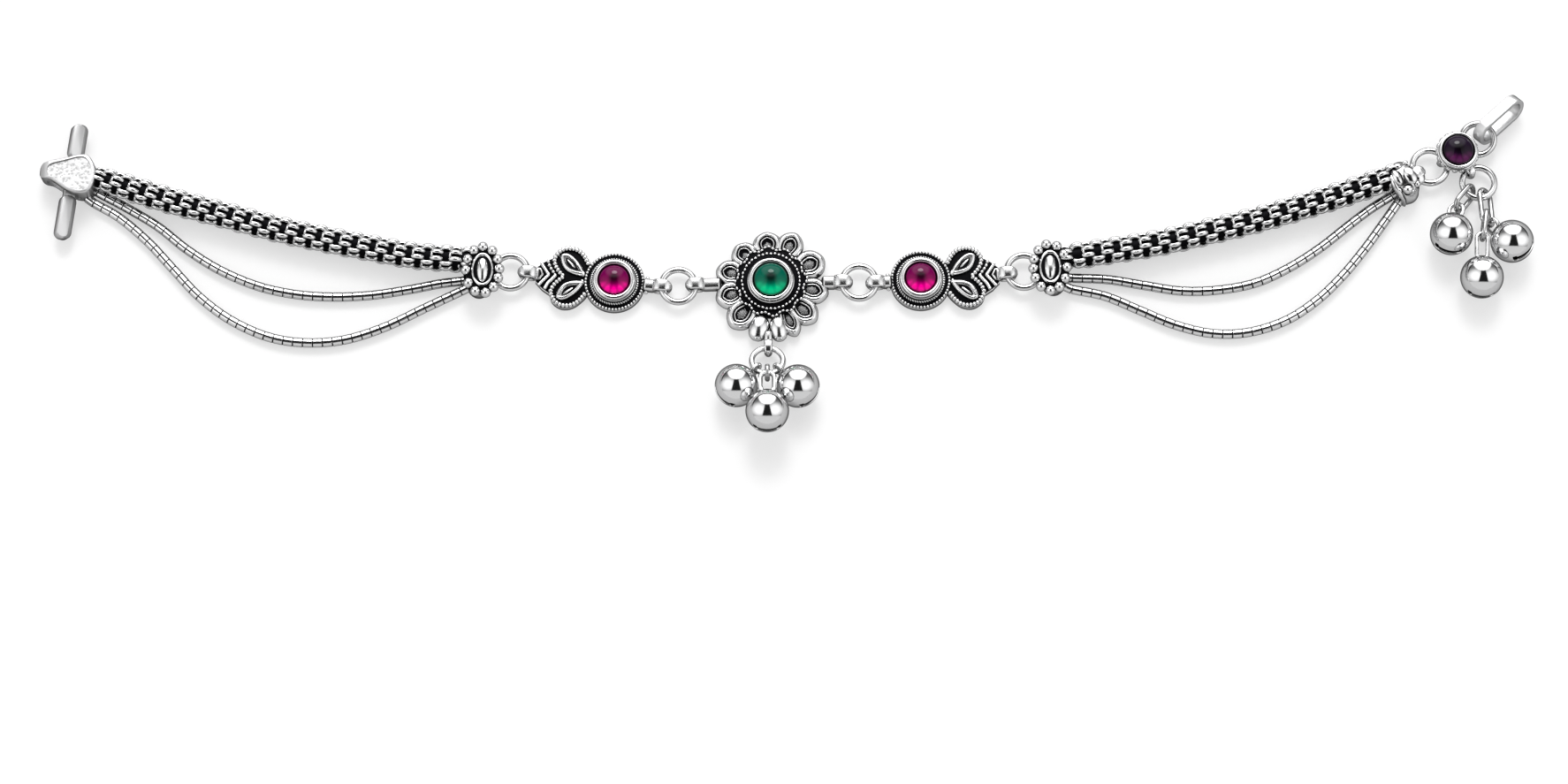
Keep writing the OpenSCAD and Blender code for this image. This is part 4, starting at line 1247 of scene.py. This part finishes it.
def end_group():
    """Three links and three bells under the end bezel."""
    left_a, left_b, left_roll = Vector((122.51, 13.98, 1.35)), Vector((119.23, 9.8, 2.78)), 56
    link_between("drop_link_left", left_a, left_b, left_roll, 1.45)
    link_between("drop_link_right", (124.54, 13.68, 1.24), (124.68, 6.78, 2.67), 44.8, 1.5)
    link_between("drop_link_middle", (124.38, 9.21, 2.98), (123.49, 3.93, 3.5), 90, 1)
    left_at, middle_at, right_at = ((118, 4.8, BELL_R), (123, -3.2, BELL_R), (128.6, 3.4, BELL_R))
    reach = left_b - Vector(left_at)
    bell("drop_bell_left", left_at, reach, rolled_side(left_a, left_b, left_roll), reach.length + 0.93)
    reach = Vector((125.4, 7.05, 1.88)) - Vector(right_at)
    bell("drop_bell_right", right_at, reach, (-0.5, -0.58, 0.64), reach.length + 0.93)
    bell("drop_bell_middle", middle_at, (0.058, 1, -0.045), (0, 0, 1), 8.25, 0.95)


# Studio

def studio():
    """Camera, table and lights."""
    camera_data = bpy.data.cameras.new("Camera")
    camera_data.lens = LENS
    camera_data.sensor_width = SENSOR
    camera_data.clip_start = 0.01
    camera = bpy.data.objects.new("Camera", camera_data)
    bpy.context.scene.collection.objects.link(camera)
    camera.location = (CAMERA_AT + REST_SHIFT) * MM
    aim = LOOKS_AT - CAMERA_AT
    camera.rotation_euler = aim.to_track_quat("-Z", "Y").to_euler()
    bpy.context.scene.camera = camera
    bpy.context.scene.view_settings.view_transform = "Standard"

    nothing_selected()
    bpy.ops.mesh.primitive_plane_add(size=3, location=(0, 0, 0))
    floor = added("floor")
    material, tree, shader = blank_material("Table")
    seen_in_metal = node_of(tree, "LightPath").outputs["Is Glossy Ray"]
    feed(tree, shader, {
        "Base Color": mix_colour(tree, seen_in_metal, (0.42, 0.42, 0.42, 1), (0.3, 0.3, 0.3, 1)),
        "Emission Color": mix_colour(tree, seen_in_metal, (0.53, 0.53, 0.53, 1), (0.18, 0.18, 0.18, 1)),
        "Emission Strength": 1, "Roughness": 0.6, "Specular IOR Level": 0.1})
    floor.data.materials.append(material)
    studio_lights()


def studio_lights():
    """The studio as a polished ball shows it: a round light above, one each side, a dark gap between.

    across and along_view are the places on such a ball, from -1 to 1, of what lies in each direction.
    """
    world = bpy.data.worlds.new("Studio")
    bpy.context.scene.world = world
    world.use_nodes = True
    tree = world.node_tree
    plus, minus, times = sums(tree)
    toward = (CAMERA_AT - LOOKS_AT).normalized()
    way = node_of(tree, "TexCoord").outputs["Generated"]

    def vector_node(operation, a, b=None):
        node = node_of(tree, "VectorMath", operation=operation)
        return feed(tree, node, {0: a, 1: b}).outputs

    def share(vector, direction):
        return vector_node("DOT_PRODUCT", vector, direction)["Value"]

    def oval(middle, size, low, high):
        """Light of an oval with soft edges: full up to low and gone at high, 1 being its edge."""
        dx, dy = (math_node(tree, "DIVIDE", minus(place, at), half)
                  for place, at, half in zip((across, along_view), middle, size))
        reach = math_node(tree, "SQRT", plus(times(dx, dx), times(dy, dy)))
        return minus(1, ramp(tree, reach, low, high))

    halfway = vector_node("NORMALIZE", vector_node("ADD", way, toward)[0])[0]
    across = math_node(tree, "ABSOLUTE", share(halfway, (1, 0, 0)))
    along_view = share(halfway, (0, toward.z, -toward.y))
    rise, north = share(way, (0, 0, 1)), share(way, (0, 1, 0))

    gap_half = minus(GAP_HALF, times(along_view, GAP_FLARE))
    beside = ramp(tree, minus(across, gap_half), -0.012, 0.012)
    above = ramp(tree, along_view, GAP_LOW - 0.03, GAP_LOW + 0.03)
    side_light = times(times(beside, above), oval((0.36, 0.05), (0.48, 0.44), 0.25, 1.0))
    top_light = times(oval((0, 0.62), (0.42, 0.345), 0.7, 1.06), TOP_LIGHT)
    bright_spot = times(oval((0, 0.5), (0.11, 0.07), 0.7, 1.1), SPOT_LIGHT)
    lit = plus(times(side_light, SIDE_LIGHT), plus(top_light, bright_spot))
    near_grey = times(minus(1, above), 0.72)
    far_grey = times(ramp(tree, across, 0.35, 0.95), 0.5)
    base = math_node(tree, "MAXIMUM", near_grey, times(times(far_grey, above), beside))
    veil = times(times(above, beside), 0.14)
    seen = plus(math_node(tree, "MAXIMUM", base, veil), lit)
    horizon = times(minus(1, ramp(tree, rise, 0.1, 0.2)), ramp(tree, north, 0.1, 0.5))
    dimmed = times(seen, minus(1, times(horizon, 0.97)))
    looked_at = node_of(tree, "LightPath").outputs["Is Camera Ray"]
    feed(tree, tree.nodes["Background"], {
        "Color": mix_colour(tree, looked_at, plus(dimmed, 0.012), (0.95, 0.95, 0.95, 1)),
        "Strength": STUDIO_STRENGTH})


def build():
    toggle_bar()
    bar_cap()
    woven_chain("left_woven_chain", LEFT_WOVEN, 0.8)
    woven_chain("right_woven_chain", RIGHT_WOVEN, 0.82)
    for name, points in SNAKE_ROUTES.items():
        snake_chain(name, points)
    terminal("left", LEFT_TERMINAL_AT, 0, 0.4)
    terminal("right", RIGHT_TERMINAL_AT, 180, 0)
    leaf_setting("left", LEFT_GEM_AT, LEFT_LEAF_TURN, 8.5)
    leaf_setting("right", RIGHT_GEM_AT, RIGHT_LEAF_TURN, 8)
    flower_setting()
    end_cap()
    end_bezel()
    oblong_loop()
    rings()
    centre_group()
    end_group()


studio()
build()
nothing_selected()
